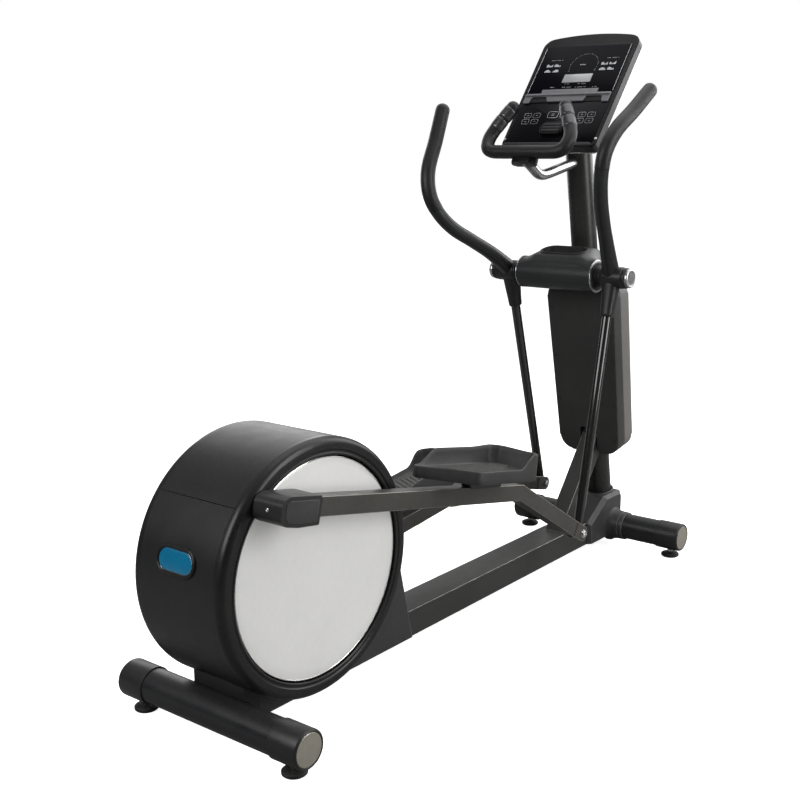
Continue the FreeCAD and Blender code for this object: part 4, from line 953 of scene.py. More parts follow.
@dataclass
class Drum:
    """The bright edges of the crank discs, the badge and the seams of the casing."""

    maker: Maker
    radius: float = 0.309
    disc_radius: float = 0.263
    face: float = 0.1402
    badge_turn: float = math.radians(166)
    beads: tuple[Point2, ...] = ((0.0115, 0.0026), (0.0195, 0.0019))

    def build(self) -> None:
        """Build the discs, their edges and the badge."""
        middle = centre_of("crank_axle")
        for side, sign in SIDES.items():
            self._disc(side, sign, middle)
        self._badge(middle)

    def _disc(self, side: str, sign: int, middle: Vector) -> None:
        """Turn one crank disc, softly dished, with its thin polished edge.

        Args:
            side: Which side.
            sign: The side's direction along X.
            middle: The crank axle's middle.
        """
        out = Vector((sign, 0, 0))
        r, face = self.disc_radius, self.face
        profile: list[Point2] = [
                (face - 0.0072, 0.0), (face - 0.0072, r - 0.0006), (face - 0.0042, r - 0.0006),
                (face - 0.0026, r - 0.0018), (face - 0.0021, r - 0.0034)]
        for step in range(1, 13):
            share = step / 12
            profile.append(
                    (face - 0.0021 + 0.0016 * math.sin(share * math.pi / 2), (r - 0.0034) * (1 - share)))
        # The disc face takes the pale colour, a painted reflection of white.
        disc = self.maker.lathe(
                "crank_disc_face_" + side, profile, middle, out, DISC_REFLECTION_PAINT, "crank", steps=160)
        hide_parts("crank_discs")
        ring = [(face - 0.0032, r - 0.0002), (face - 0.0016, r - 0.0003), (face - 0.0011, r - 0.0014),
                (face - 0.0015, r - 0.0028), (face - 0.003, r - 0.0032)]
        self.maker.lathe("disc_edge_" + side, ring, middle, out, CHROME, "crank", steps=160, closed=True)
        for row, (reach, wide) in enumerate(self.beads):
            bead = [(face - 0.0035 + wide * math.sin(math.tau * i / 12),
                     r + reach + wide * math.cos(math.tau * i / 12)) for i in range(12)]
            self.maker.lathe(
                    f"rim_bead_{row}_{side}", bead, middle, out, GLOSS_PAINT, "frame", steps=160, closed=True)

    def _badge(self, middle: Vector) -> None:
        """Build the badge: a rounded bezel and a plain blue insert.

        Args:
            middle: The crank axle's middle.
        """
        out = Vector((0, math.cos(self.badge_turn), math.sin(self.badge_turn)))
        origin = Vector((0, middle.y, middle.z)) + out * self.radius
        place = frame_matrix(origin, Vector((1, 0, 0)), out.cross(Vector((1, 0, 0))), out)
        outer, inner = oval(0.126, 0.064, steps=20), oval(0.11, 0.049, steps=20)

        def bezel(work: Work) -> None:
            """Fill the bmesh with the bezel's rounded ring, wrapped on the barrel."""
            levels = [(0.0, -0.0015), (0.0, 0.0042), (0.16, 0.0056), (0.4, 0.006), (0.7, 0.0056),
                      (0.94, 0.0044), (1.0, 0.0026), (1.0, 0.0012)]
            rings = []
            for share, height in levels:
                ring = []
                for (ox, oy), (ix, iy) in zip(outer, inner):
                    x, y = ox + (ix - ox) * share, oy + (iy - oy) * share
                    drop = self.radius - math.sqrt(self.radius ** 2 - y * y)
                    ring.append(work.verts.new((x, y, height - drop)))
                rings.append(ring)
            skin_all(work, rings)

        piece = self.maker.from_mesh("badge_frame", bezel, RIM_SKIN, "frame", place, sharp=50)
        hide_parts("badge_bezel")

        def insert(work: Work) -> None:
            """Fill the bmesh with the slightly domed insert."""
            shares = [1.0, 0.985, 0.95, 0.8, 0.55, 0.3, 0.1]
            heights = [0.0014, 0.0024, 0.0029, 0.0033, 0.0036, 0.0037, 0.0038]
            rings = []
            for share, height in zip(shares, heights):
                ring = []
                for x, y in inner:
                    drop = self.radius - math.sqrt(self.radius ** 2 - (y * share) ** 2)
                    ring.append(work.verts.new((x * share, y * share, height - drop)))
                rings.append(ring)
            skin_all(work, rings)
            work.faces.new(rings[-1])

        plate = self.maker.from_mesh("badge_insert", insert, BADGE_BLUE, "frame", place, sharp=50)
        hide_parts("badge_plate")
        self.maker.tube(
                "badge_glint",
                [place @ Vector((x, y, 0.0036 - (self.radius - math.sqrt(self.radius ** 2 - y * y)))) for x,
                 y in oval(0.1085, 0.0475, steps=20)[12:62]], lambda share: 0.0005, SILVER, "frame", sides=8)


@dataclass
class SwingArm:
    """One arm above its pivot: hub, socket, smooth handle and foam grip."""

    maker: Maker
    side: str
    lean: float
    bar: float = 0.0212
    hub_growth: float = 0.0062
    grip_radius: float = 0.0218
    grip_length: float = 0.33
    stations: tuple[tuple[float, float, float], ...] = (
            (187, -2, 2), (190, -30, 34), (199, -82, 88), (213, -146, 146), (230, -208, 204),
            (244, -248, 264), (256, -262, 328), (267, -236, 394), (275, -169, 465), (283, -101, 542))

    def build(self) -> None:
        """Build the arm's pieces."""
        sign, body = SIDES[self.side], "swing_" + self.side
        place = Matrix.Translation(centre_of("pivot_axle")) @ Matrix.Rotation(math.radians(self.lean), 4, "X")
        out = Vector((sign, 0, 0))
        middle = centre_of("pivot_axle")
        line = smooth_line([mm(sign * x, y, z) for x, y, z in self.stations], 12)
        total = line_length(line)
        start = total - self.grip_length
        bar = self.maker.tube("handle_bar_" + self.side, cut_line(line, 0.0, start + 0.02),
                              lambda share: self.bar_radius(share), TUBE_PAINT, body, place)
        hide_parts("upper_arm_" + self.side)
        self._grip(line, start, total, body, place)
        hub = [(0.1545, 0.0), (0.1545, 0.0272), (0.1552, 0.0288), (0.157, 0.0298), (0.1592, 0.0298),
               (0.1598, 0.0308), (0.1612, 0.0322), (0.164, 0.033), (0.2255, 0.033), (0.2285, 0.0324),
               (0.2298, 0.031), (0.2304, 0.0296), (0.2316, 0.0292), (0.2328, 0.0298), (0.2338, 0.0312),
               (0.2358, 0.0316), (0.2392, 0.0314), (0.2412, 0.0304), (0.242, 0.0285), (0.242, 0.0)]
        self.maker.lathe("arm_hub_" + self.side, hub, middle, out, HUB_SKIN, body, steps=84)
        self._socket(sign, body, place)
        cap = [(0.2418, 0.0), (0.2418, 0.0272), (0.2426, 0.0284), (0.2448, 0.029), (0.2496, 0.029),
               (0.2518, 0.0282), (0.2532, 0.0266), (0.2536, 0.0246), (0.2531, 0.0236), (0.2534, 0.015),
               (0.2536, 0.0)]
        trim = self.maker.lathe("axle_cap_" + self.side, cap, middle, out, SILVER, "frame", steps=84)
        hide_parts("axle_end_caps")

    def bar_radius(self, share: float) -> float:
        """Return the handle's radius along its length, fuller towards the hub."""
        return self.bar + self.hub_growth * max(0.0, 1 - share * 2.2) ** 1.5

    def _grip(self, line: list[Vector], start: float, total: float, body: str, place: Matrix) -> None:
        """Pull the foam sleeve over the end of the bar.

        Args:
            line: The bar's line.
            start: Where the foam begins along it.
            total: The bar's length.
            body: The body the arm is.
            place: The arm's frame.
        """
        sleeve = cut_line(line, start, total)
        way = (sleeve[-1] - sleeve[-2]).normalized()
        dome = [sleeve[-1] + way * (0.0195 * math.sin(math.pi / 2 * i / 8)) for i in range(1, 9)]
        length = self.grip_length + 0.0195

        def radius(share: float) -> float:
            """Return the foam's radius: a rolled lip, a faint belly and a domed end."""
            along = share * length
            if along > self.grip_length:
                past = min(1.0, (along - self.grip_length) / 0.0195)
                return max(0.0008, self.grip_radius * math.sqrt(max(0.0, 1 - past ** 2)))
            lip = min(1.0, along / 0.004)
            rolled = self.grip_radius - 0.0035 * (1 - math.sqrt(1 - (1 - lip) ** 2))
            return rolled + 0.0004 * math.sin(share * math.pi)

        grip = self.maker.tube(
                "foam_grip_" + self.side, self._dense(sleeve + dome), radius, FOAM, body, place, sides=44)
        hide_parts("hand_grip_" + self.side)

    @staticmethod
    def _dense(line: list[Vector]) -> list[Vector]:
        """Return the line with extra points near its start, where the lip rolls in."""
        first, second = line[0], line[1]
        return [first.lerp(second, t) for t in (0.0, 0.08, 0.18, 0.34, 0.6)] + line[1:]

    def _socket(self, sign: int, body: str, place: Matrix) -> None:
        """Build the tapered socket under the hub that takes the lower tube.

        Args:
            sign: The side's direction along X.
            body: The body the arm is.
            place: The arm's frame.
        """
        levels = [(-0.012, 0.0275, 0.0262), (-0.03, 0.0262, 0.0252), (-0.052, 0.0248, 0.0238),
                  (-0.078, 0.0226, 0.0222), (-0.1, 0.0206, 0.0208), (-0.112, 0.0202, 0.0204),
                  (-0.1175, 0.0198, 0.02), (-0.1205, 0.0186, 0.0188), (-0.122, 0.0165, 0.0167)]

        def build(work: Work) -> None:
            """Fill the bmesh with softly squared rings."""
            rings = []
            for height, wide, deep in levels:
                ring = []
                for step in range(48):
                    turn = math.tau * step / 48
                    c, s = math.cos(turn), math.sin(turn)
                    soft = (abs(c) ** 2.5 + abs(s) ** 2.5) ** (-1 / 2.5)
                    ring.append(work.verts.new((sign * 0.187 + c * soft * wide, s * soft * deep, height)))
                rings.append(ring)
            skin_all(work, rings)
            work.faces.new(rings[0])
            work.faces.new(rings[-1])

        self.maker.from_mesh("arm_socket_" + self.side, build, HUB_SKIN, body, place, sharp=50)


@dataclass
class PivotHousing:
    """The moulded housing across the mast with its bottle tray, and the trims at its ends."""

    maker: Maker
    barrel: float = 0.05
    half: float = 0.135
    hump: tuple[Point2, ...] = (
            (-0.047, 0.012), (-0.038, 0.038), (-0.02, 0.0605), (0.02, 0.0705), (0.06, 0.0795), (0.1, 0.0765),
            (0.146, 0.048), (0.148, -0.028), (0.1, -0.038), (0.03, -0.049), (-0.03, -0.04))

    def build(self) -> None:
        """Build the housing, its tray and its trims."""
        middle = centre_of("pivot_axle")
        place = Matrix.Translation(middle)
        shell = self.maker.from_mesh("housing_shell", self._shell, HOUSING_SKIN, "frame", place, sharp=38)
        self._cut_tray(shell, middle)
        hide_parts("pivot_housing")
        self._tray(place)
        for side, sign in SIDES.items():
            self._end(side, Vector((sign, 0, 0)), middle)

    def _reach(self, turn: float) -> float:
        """Return how far the hump reaches from the axle in one direction."""
        way = Vector((math.cos(turn), math.sin(turn)))
        best = self.barrel
        count = len(self.hump)
        for index in range(count):
            a, b = Vector(self.hump[index]), Vector(self.hump[(index + 1) % count])
            edge = b - a
            cross = way.x * edge.y - way.y * edge.x
            if abs(cross) < 1e-9:
                continue
            far = (a.x * edge.y - a.y * edge.x) / cross
            along = (a.x * way.y - a.y * way.x) / cross
            if far > 0 and -1e-6 <= along <= 1 + 1e-6:
                best = max(best, far)
        return best

    def _shell(self, work: Work) -> None:
        """Fill the bmesh with rings that swell from the round ends to the hump.

        Args:
            work: The bmesh.
        """
        count = 144
        turns = [math.tau * i / count for i in range(count)]
        reach = [self._reach(turn) for turn in turns]
        for _ in range(5):
            reach = [(reach[i - 1] + 2 * reach[i] + reach[(i + 1) % count]) / 4 for i in range(count)]
        stations = [-self.half, -self.half + 0.0012, -self.half + 0.0035]
        stations += [-0.128 + 0.256 * i / 52 for i in range(53)]
        stations += [self.half - 0.0035, self.half - 0.0012, self.half]
        ends = {0: 0.0035, 1: 0.0012, len(stations) - 1: 0.0035, len(stations) - 2: 0.0012}
        rings = []
        for index, x in enumerate(stations):
            share = min(1.0, max(0.0, (0.121 - abs(x)) / 0.046))
            swell = share * share * (3 - 2 * share)
            trim = ends.get(index, 0.0)
            rings.append([work.verts.new((x,
                                          (self.barrel - trim + (far - self.barrel) * swell) * math.cos(turn),
                                          (self.barrel - trim
                                           + (far - self.barrel) * swell) * math.sin(turn))) for turn,
                          far in zip(turns, reach)])
        skin_all(work, rings)
        work.faces.new(rings[0])
        work.faces.new(rings[-1])

    @staticmethod
    def _tray_outline(grow: float = 0.0) -> list[Point2]:
        """Return the tray's outline, wider towards the user."""
        return round_corners([(-0.08 - grow, -0.013 - grow, 0.034), (0.08 + grow, -0.013 - grow, 0.034),
                              (0.074 + grow, 0.062 + grow, 0.03), (-0.074 - grow, 0.062 + grow, 0.03)], 10)

    def _cut_tray(self, shell: Piece, middle: Vector) -> None:
        """Cut the tray's well out of the housing.

        Args:
            shell: The housing.
            middle: The axle's middle.
        """
        cutter = self.maker.slab("tray_cutter", self._tray_outline(), 0.047, 0.12, PIT_SKIN, "frame",
                                 Matrix.Translation(middle), edge=0.0)
        modifier = shell.modifiers.new("well", "BOOLEAN")
        modifier.operation = "DIFFERENCE"
        modifier.solver = "EXACT"
        modifier.object = cutter
        bpy.context.view_layer.update()
        cut = bpy.data.meshes.new_from_object(shell.evaluated_get(bpy.context.evaluated_depsgraph_get()))
        shell.modifiers.clear()
        shell.data = cut
        cut.set_sharp_from_angle(angle=math.radians(38))
        bpy.data.objects.remove(cutter)

    def _tray(self, place: Matrix) -> None:
        """Build the black liner of the tray: a dished floor with a rolled rim.

        Args:
            place: The housing's frame.
        """
        levels = [(0.0035, 0.0655), (0.0035, 0.0695), (0.0022, 0.0712), (0.0004, 0.0716), (-0.0012, 0.0704),
                  (-0.0022, 0.068), (-0.003, 0.056), (-0.006, 0.0502), (-0.012, 0.048), (-0.02, 0.0476)]

        def build(work: Work) -> None:
            """Fill the bmesh with the liner."""
            rings = [[work.verts.new((x, y, z - 0.0018 + 8.6 * y * (z - 0.0476))) for x,
                      y in self._tray_outline(grow)] for grow, z in levels]
            skin_all(work, rings)
            work.faces.new(rings[-1])

        self.maker.from_mesh("tray_liner", build, PIT_SKIN, "frame", place, sharp=60)

    def _end(self, side: str, out: Vector, middle: Vector) -> None:
        """Build the silver trim and the ribbed boss at one end.

        Args:
            side: Which side.
            out: The way it faces.
            middle: The axle's middle.
        """
        trim = [(0.1335, 0.03), (0.1335, 0.0502), (0.1346, 0.0506), (0.1356, 0.0506), (0.1366, 0.0496),
                (0.137, 0.047), (0.1378, 0.03)]
        piece = self.maker.lathe("housing_trim_" + side, trim, middle, out, SILVER, "frame", steps=96)
        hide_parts("pivot_spacers")
        boss: list[Point2] = [
                (0.136, 0.0), (0.136, 0.0432), (0.1388, 0.0436), (0.1402, 0.0428), (0.1406, 0.0402)]
        for step in range(2):
            low = 0.1408 + step * 0.0042
            boss += [(low, 0.0335 - step * 0.004), (low + 0.0026, 0.0335 - step * 0.004),
                     (low + 0.0032, 0.0318 - step * 0.004), (low + 0.0038, 0.0318 - step * 0.004)]
        boss += [(0.1496, 0.026), (0.1538, 0.0255), (0.1538, 0.0)]
        self.maker.lathe("housing_boss_" + side, boss, middle, out, RUBBER, "frame", steps=84)


@dataclass
class MastShield:
    """The two-part shield round the mast with its recessed screws."""

    maker: Maker
    lean: float = math.radians(9.49)
    foot: tuple[float, float, float] = (0.0, 0.9067, 0.1786)
    height: float = 0.353
    half_top: float = 0.126
    half_low: float = 0.117
    rise: float = 0.575

    def place(self) -> Matrix:
        """Return the shield's frame: x to the side, y up the mast and z towards the user."""
        up = Vector((0, -math.sin(self.lean), math.cos(self.lean)))
        back = Vector((0, -math.cos(self.lean), -math.sin(self.lean)))
        base = Vector(self.foot)
        origin = base + up * ((self.height - base.z) / up.z)
        return frame_matrix(origin, up.cross(back), up, back)

    def outline(self, grow: float = 0.0) -> list[Point2]:
        """Return the shield's outline, with rounded shoulders, two lobes and the notch for the brace."""
        top, low, rise = self.half_top + grow, self.half_low + grow, self.rise + grow
        notch = 0.032 - grow
        half = [(notch, 0.078 - grow, 0.006), (notch, -0.012 - grow, 0.014),
                (low - 0.004, -0.012 - grow, 0.05), (top, rise, 0.042)]
        return round_corners(half + [(-x, y, r) for x, y, r in reversed(half)], 8)

    def build(self) -> None:
        """Build both halves, the seam and the screws."""
        place = self.place()
        rear = self.maker.slab("shield_user_half", self.outline(), 0.002, 0.048, SHIELD_SKIN, "frame", place,
                               edge=0.007, steps=5, sharp=50)
        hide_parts("shroud_rear_half")
        # The front half takes the lighter shield colour, painted light on the shield's side.
        front = self.maker.slab("shield_front_half", self.outline(-0.0004), -0.052, 0.0012, SHIELD_LIT_SIDE,
                                "frame", place, edge=0.009, steps=5, sharp=50)
        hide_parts("shroud_front_half")
        spots = [(0.112, 0.49), (0.11, 0.325), (0.107, 0.17), (0.099, 0.04)]
        for row, (across, up) in enumerate(spots):
            for side, sign in SIDES.items():
                at = place @ Vector((sign * across, up, 0.048))
                out = place.to_3x3() @ Vector((0, 0, 1))
                cup = [(-0.0002, 0.0066), (0.0005, 0.0062), (0.0005, 0.0052), (-0.0008, 0.004),
                       (-0.0011, 0.0028), (-0.0006, 0.0016), (-0.0009, 0.0)]
                screw = self.maker.lathe(
                        f"shield_screw_{row}_{side}", cup, at, out, PIT_SKIN, "frame", steps=28)
                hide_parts("shroud_screws")


@dataclass
class BaseCover:
    """The faceted cover round the foot of the mast, with flared collars on the cross tube."""

    maker: Maker
    half: float = 0.064
    outline: tuple[tuple[float, float, float], ...] = (
            (0.742, 0.0365, 0.0), (0.962, 0.0365, 0.0), (0.962, 0.180, 0.012), (0.842, 0.180, 0.01),
            (0.812, 0.160, 0.006), (0.738, 0.113, 0.006))

    def build(self) -> None:
        """Build the cover, the collars and the rim round the mast."""
        shell = self.maker.from_mesh("foot_cover", self._shell, COVER_SKIN, "frame", sharp=20)
        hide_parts("front_base_cover")
        tube = centre_of("front_stabilizer_tube")
        line = Vector((0, tube.y, centre_of("end_cap_inserts").z))
        for side, sign in SIDES.items():
            collar = [(self.half - 0.012, 0.0), (self.half - 0.012, 0.0585), (self.half - 0.001, 0.058),
                      (self.half + 0.004, 0.0545), (self.half + 0.012, 0.0508), (self.half + 0.022, 0.0488),
                      (0.1, 0.0478), (0.1002, 0.0466), (0.1014, 0.0466), (0.1016, 0.0478), (0.115, 0.0476),
                      (0.1172, 0.047), (0.118, 0.0455), (0.118, 0.0)]
            self.maker.lathe(
                    "foot_collar_" + side, collar, line, Vector((sign, 0, 0)), COVER_SKIN, "frame", steps=84)
            screw = [(-0.0004, 0.0052), (0.0003, 0.0048), (0.0003, 0.0042), (-0.0009, 0.0036), (-0.0011, 0.0)]
            spot = Vector((sign * (self.half - 0.0002), 0.842, 0.074))
            self.maker.lathe(
                    "foot_cover_screw_" + side, screw, spot, Vector((sign, 0, 0)), RUBBER, "frame", steps=28)
        self._mast_rim()

    def _shell(self, work: Work) -> None:
        """Fill the bmesh with the faceted body, its long edges cut back to broad chamfers."""
        sections = [(-self.half, 0.011), (-self.half + 0.011, 0.0), (self.half - 0.011, 0.0),
                    (self.half, 0.011)]
        middle_y, middle_z = 0.852, 0.09
        rings = []
        points = round_corners(self.outline, 4)
        for x, inset in sections:
            ring = []
            for y, z in points:
                pulled_y = y + (inset if y < middle_y else -inset)
                pulled_z = z - inset if z > middle_z else z
                ring.append(work.verts.new((x, pulled_y, pulled_z)))
            rings.append(ring)
        skin_all(work, rings)
        work.faces.new(rings[0])
        work.faces.new(rings[-1])
        crease = [e for e in work.edges if len(e.link_faces) == 2
                  and e.calc_face_angle(0.0) > math.radians(20)]
        bmesh.ops.bevel(
                work, geom=crease, offset=0.0012, segments=2, profile=0.5, affect="EDGES", clamp_overlap=True)

    def _mast_rim(self) -> None:
        """Build the raised rim where the mast comes out."""
        shield = MastShield(self.maker)
        base = Vector(shield.foot)
        up = Vector((0, -math.sin(shield.lean), math.cos(shield.lean)))
        rim = [(-0.02, 0.0455), (0.004, 0.0505), (0.0075, 0.05), (0.0088, 0.0478), (0.0086, 0.0448),
               (0.006, 0.0436), (-0.02, 0.0432)]
        self.maker.lathe("foot_cover_rim", rim, base, up, COVER_SKIN, "frame", steps=72, closed=True)


def inside(outline: Sequence[Point2], x: float, y: float) -> bool:
    """Return whether a point lies inside a flat outline."""
    found = False
    for (ax, ay), (bx, by) in zip(outline, [*outline[1:], outline[0]]):
        if (ay > y) != (by > y) and x < (bx - ax) * (y - ay) / (by - ay) + ax:
            found = not found
    return found


@dataclass
class FootLink:
    """What is fitted to one foot link: hub cover, lower pivot bolt, welds and pedal."""

    maker: Maker
    side: str
    length: float = 1.302
    apex: Point2 = (0.908, 0.099)
    middle_x: float = 0.187
    half_width: float = 0.022
    hub_span: Point2 = (0.1475, 0.232)
    pedal_lift: float = 0.039
    pedal_tilt: float = math.radians(1)

    def frame(self) -> Matrix:
        """Return the link's frame: origin at the crank pin, +Y towards the lower pivot."""
        pivot, pin = centre_of("lower_pivot_bolt_" + self.side), centre_of("crank_pin_" + self.side)
        slope = math.atan2(pivot.z - pin.z, pivot.y - pin.y)
        turn = Matrix.Rotation(slope, 4, "X")
        origin = Vector((0, pivot.y, pivot.z)) - turn.to_3x3() @ Vector((0, self.length, 0))
        return Matrix.Translation(origin) @ turn

    def build(self) -> None:
        """Build the link's fittings."""
        sign, body = SIDES[self.side], f"foot_link_{self.side}_body"
        link = self.frame()
        rear = link @ Matrix.Rotation(math.atan2(self.apex[1], self.apex[0]), 4, "X")
        self._hub_cover(sign, body, rear)
        self._bolt(sign, body, link)
        self._welds(sign, body, link)
        raised = Matrix.Translation((0, 0, self.pedal_lift)) @ Matrix.Rotation(self.pedal_tilt, 4, "X")
        Pedal(self.maker, self.side, rear @ raised, body).build()

    def _sideways(self, sign: int, place: Matrix) -> Matrix:
        """Return a frame whose x runs along the link, y up and z outwards."""
        out = Vector((sign, 0, 0))
        turn = place.to_3x3()
        return frame_matrix(place.translation, turn @ Vector((0, 1, 0)), turn @ Vector((0, 0, 1)), out)

    def _hub_cover(self, sign: int, body: str, rear: Matrix) -> None:
        """Build the two-part cover round the crank pin, with its screw.

        Args:
            sign: The side's direction along X.
            body: The link's body.
            rear: The rear tube's frame.
        """
        place = self._sideways(sign, rear)
        low, high = self.hub_span
        outline = round_corners([(-0.052, -0.033, 0.024), (0.004, -0.0375, 0.012), (0.0675, -0.0345, 0.004),
                                 (0.0715, 0.0305, 0.005), (-0.03, 0.0305, 0.022), (-0.052, 0.018, 0.02)], 9)
        cover = self.maker.slab("hub_cover_" + self.side, outline, low + 0.0005, high, HUB_SKIN, body, place,
                                edge=0.0065, steps=5, sharp=50)
        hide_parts("pin_hub_cover_" + self.side)
        face = round_corners([(-0.038, -0.024, 0.018), (0.004, -0.0285, 0.01), (0.0585, -0.0265, 0.004),
                              (0.0615, 0.0215, 0.004), (-0.026, 0.0215, 0.016), (-0.038, 0.012, 0.015)], 9)
        self.maker.slab("hub_plate_" + self.side, face, high - 0.002, high + 0.0009, TRAY_SKIN, body, place,
                        edge=0.0009, steps=3, sharp=50)
        turn = rear.to_3x3()
        screw = [(-0.0008, 0.0), (-0.0008, 0.0046), (0.0006, 0.0044), (0.0012, 0.0034), (0.0012, 0.0022),
                 (0.0004, 0.0018), (0.0004, 0.0)]
        self.maker.lathe("hub_screw_" + self.side, screw, rear @ Vector((sign * 0.19, -0.052, -0.004)),
                         turn @ Vector((0, -1, 0)), STEEL, body, steps=28)

    def _bolt(self, sign: int, body: str, link: Matrix) -> None:
        """Build the bright lower pivot bolt with its round socket, its washer and its hexagon nut.

        Args:
            sign: The side's direction along X.
            body: The link's body.
            link: The link's frame.
        """
        at = link @ Vector((sign * self.middle_x, self.length, 0))
        out = Vector((sign, 0, 0))
        reach = self.half_width
        washer = [(reach - 0.0004, 0.0), (reach - 0.0004, 0.0128), (reach + 0.0004, 0.0132),
                  (reach + 0.0014, 0.013), (reach + 0.0018, 0.0122), (reach + 0.0018, 0.0)]
        self.maker.lathe("pivot_washer_" + self.side, washer, at, out, STEEL, body, steps=48)
        head = [(-reach - 0.005, 0.0), (-reach - 0.005, 0.006), (reach + 0.0016, 0.006),
                (reach + 0.0016, 0.0094), (reach + 0.0024, 0.0102), (reach + 0.0052, 0.0102),
                (reach + 0.0064, 0.0094), (reach + 0.0068, 0.008), (reach + 0.0068, 0.0046),
                (reach + 0.0062, 0.0042), (reach + 0.003, 0.0041), (reach + 0.0026, 0.0)]
        bolt = self.maker.lathe("pivot_bolt_" + self.side, head, at, out, CHROME, body, steps=6 * 9)
        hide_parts("lower_pivot_bolt_" + self.side)
        corners = [(0.0108 * math.cos(math.tau * i / 6), 0.0108 * math.sin(math.tau * i / 6))
                   for i in range(6)]
        place = self._sideways(sign, Matrix.Translation(at) @ link.to_3x3().to_4x4())
        self.maker.slab("pivot_nut_" + self.side, corners, -reach - 0.0075, -reach + 0.0002, STEEL, body,
                        place, edge=0.0008)

    def _welds(self, sign: int, body: str, link: Matrix) -> None:
        """Run the serrated weld beads where the fork ears meet the tube.

        Args:
            sign: The side's direction along X.
            body: The link's body.
            link: The link's frame.
        """
        apex = Vector((0, *self.apex))
        fall = (Vector((0, self.length, 0)) - apex).normalized()
        rise = Vector((0, -fall.z, fall.y))
        seam = Vector((0, self.length, 0)) - fall * 0.0505
        for name, x in (
                ("outer", self.middle_x + self.half_width), ("inner", self.middle_x - self.half_width)):
            line = [link @ (Vector((sign * x, 0, 0)) + seam + rise * (0.0205 * (i / 20 - 1)))
                    for i in range(41)]
            self.maker.tube(
                    f"ear_weld_{name}_{self.side}", line, lambda share: 0.0016
                    + 0.0009 * abs(math.sin(share * 9 * math.pi)), WELD, body, sides=14)


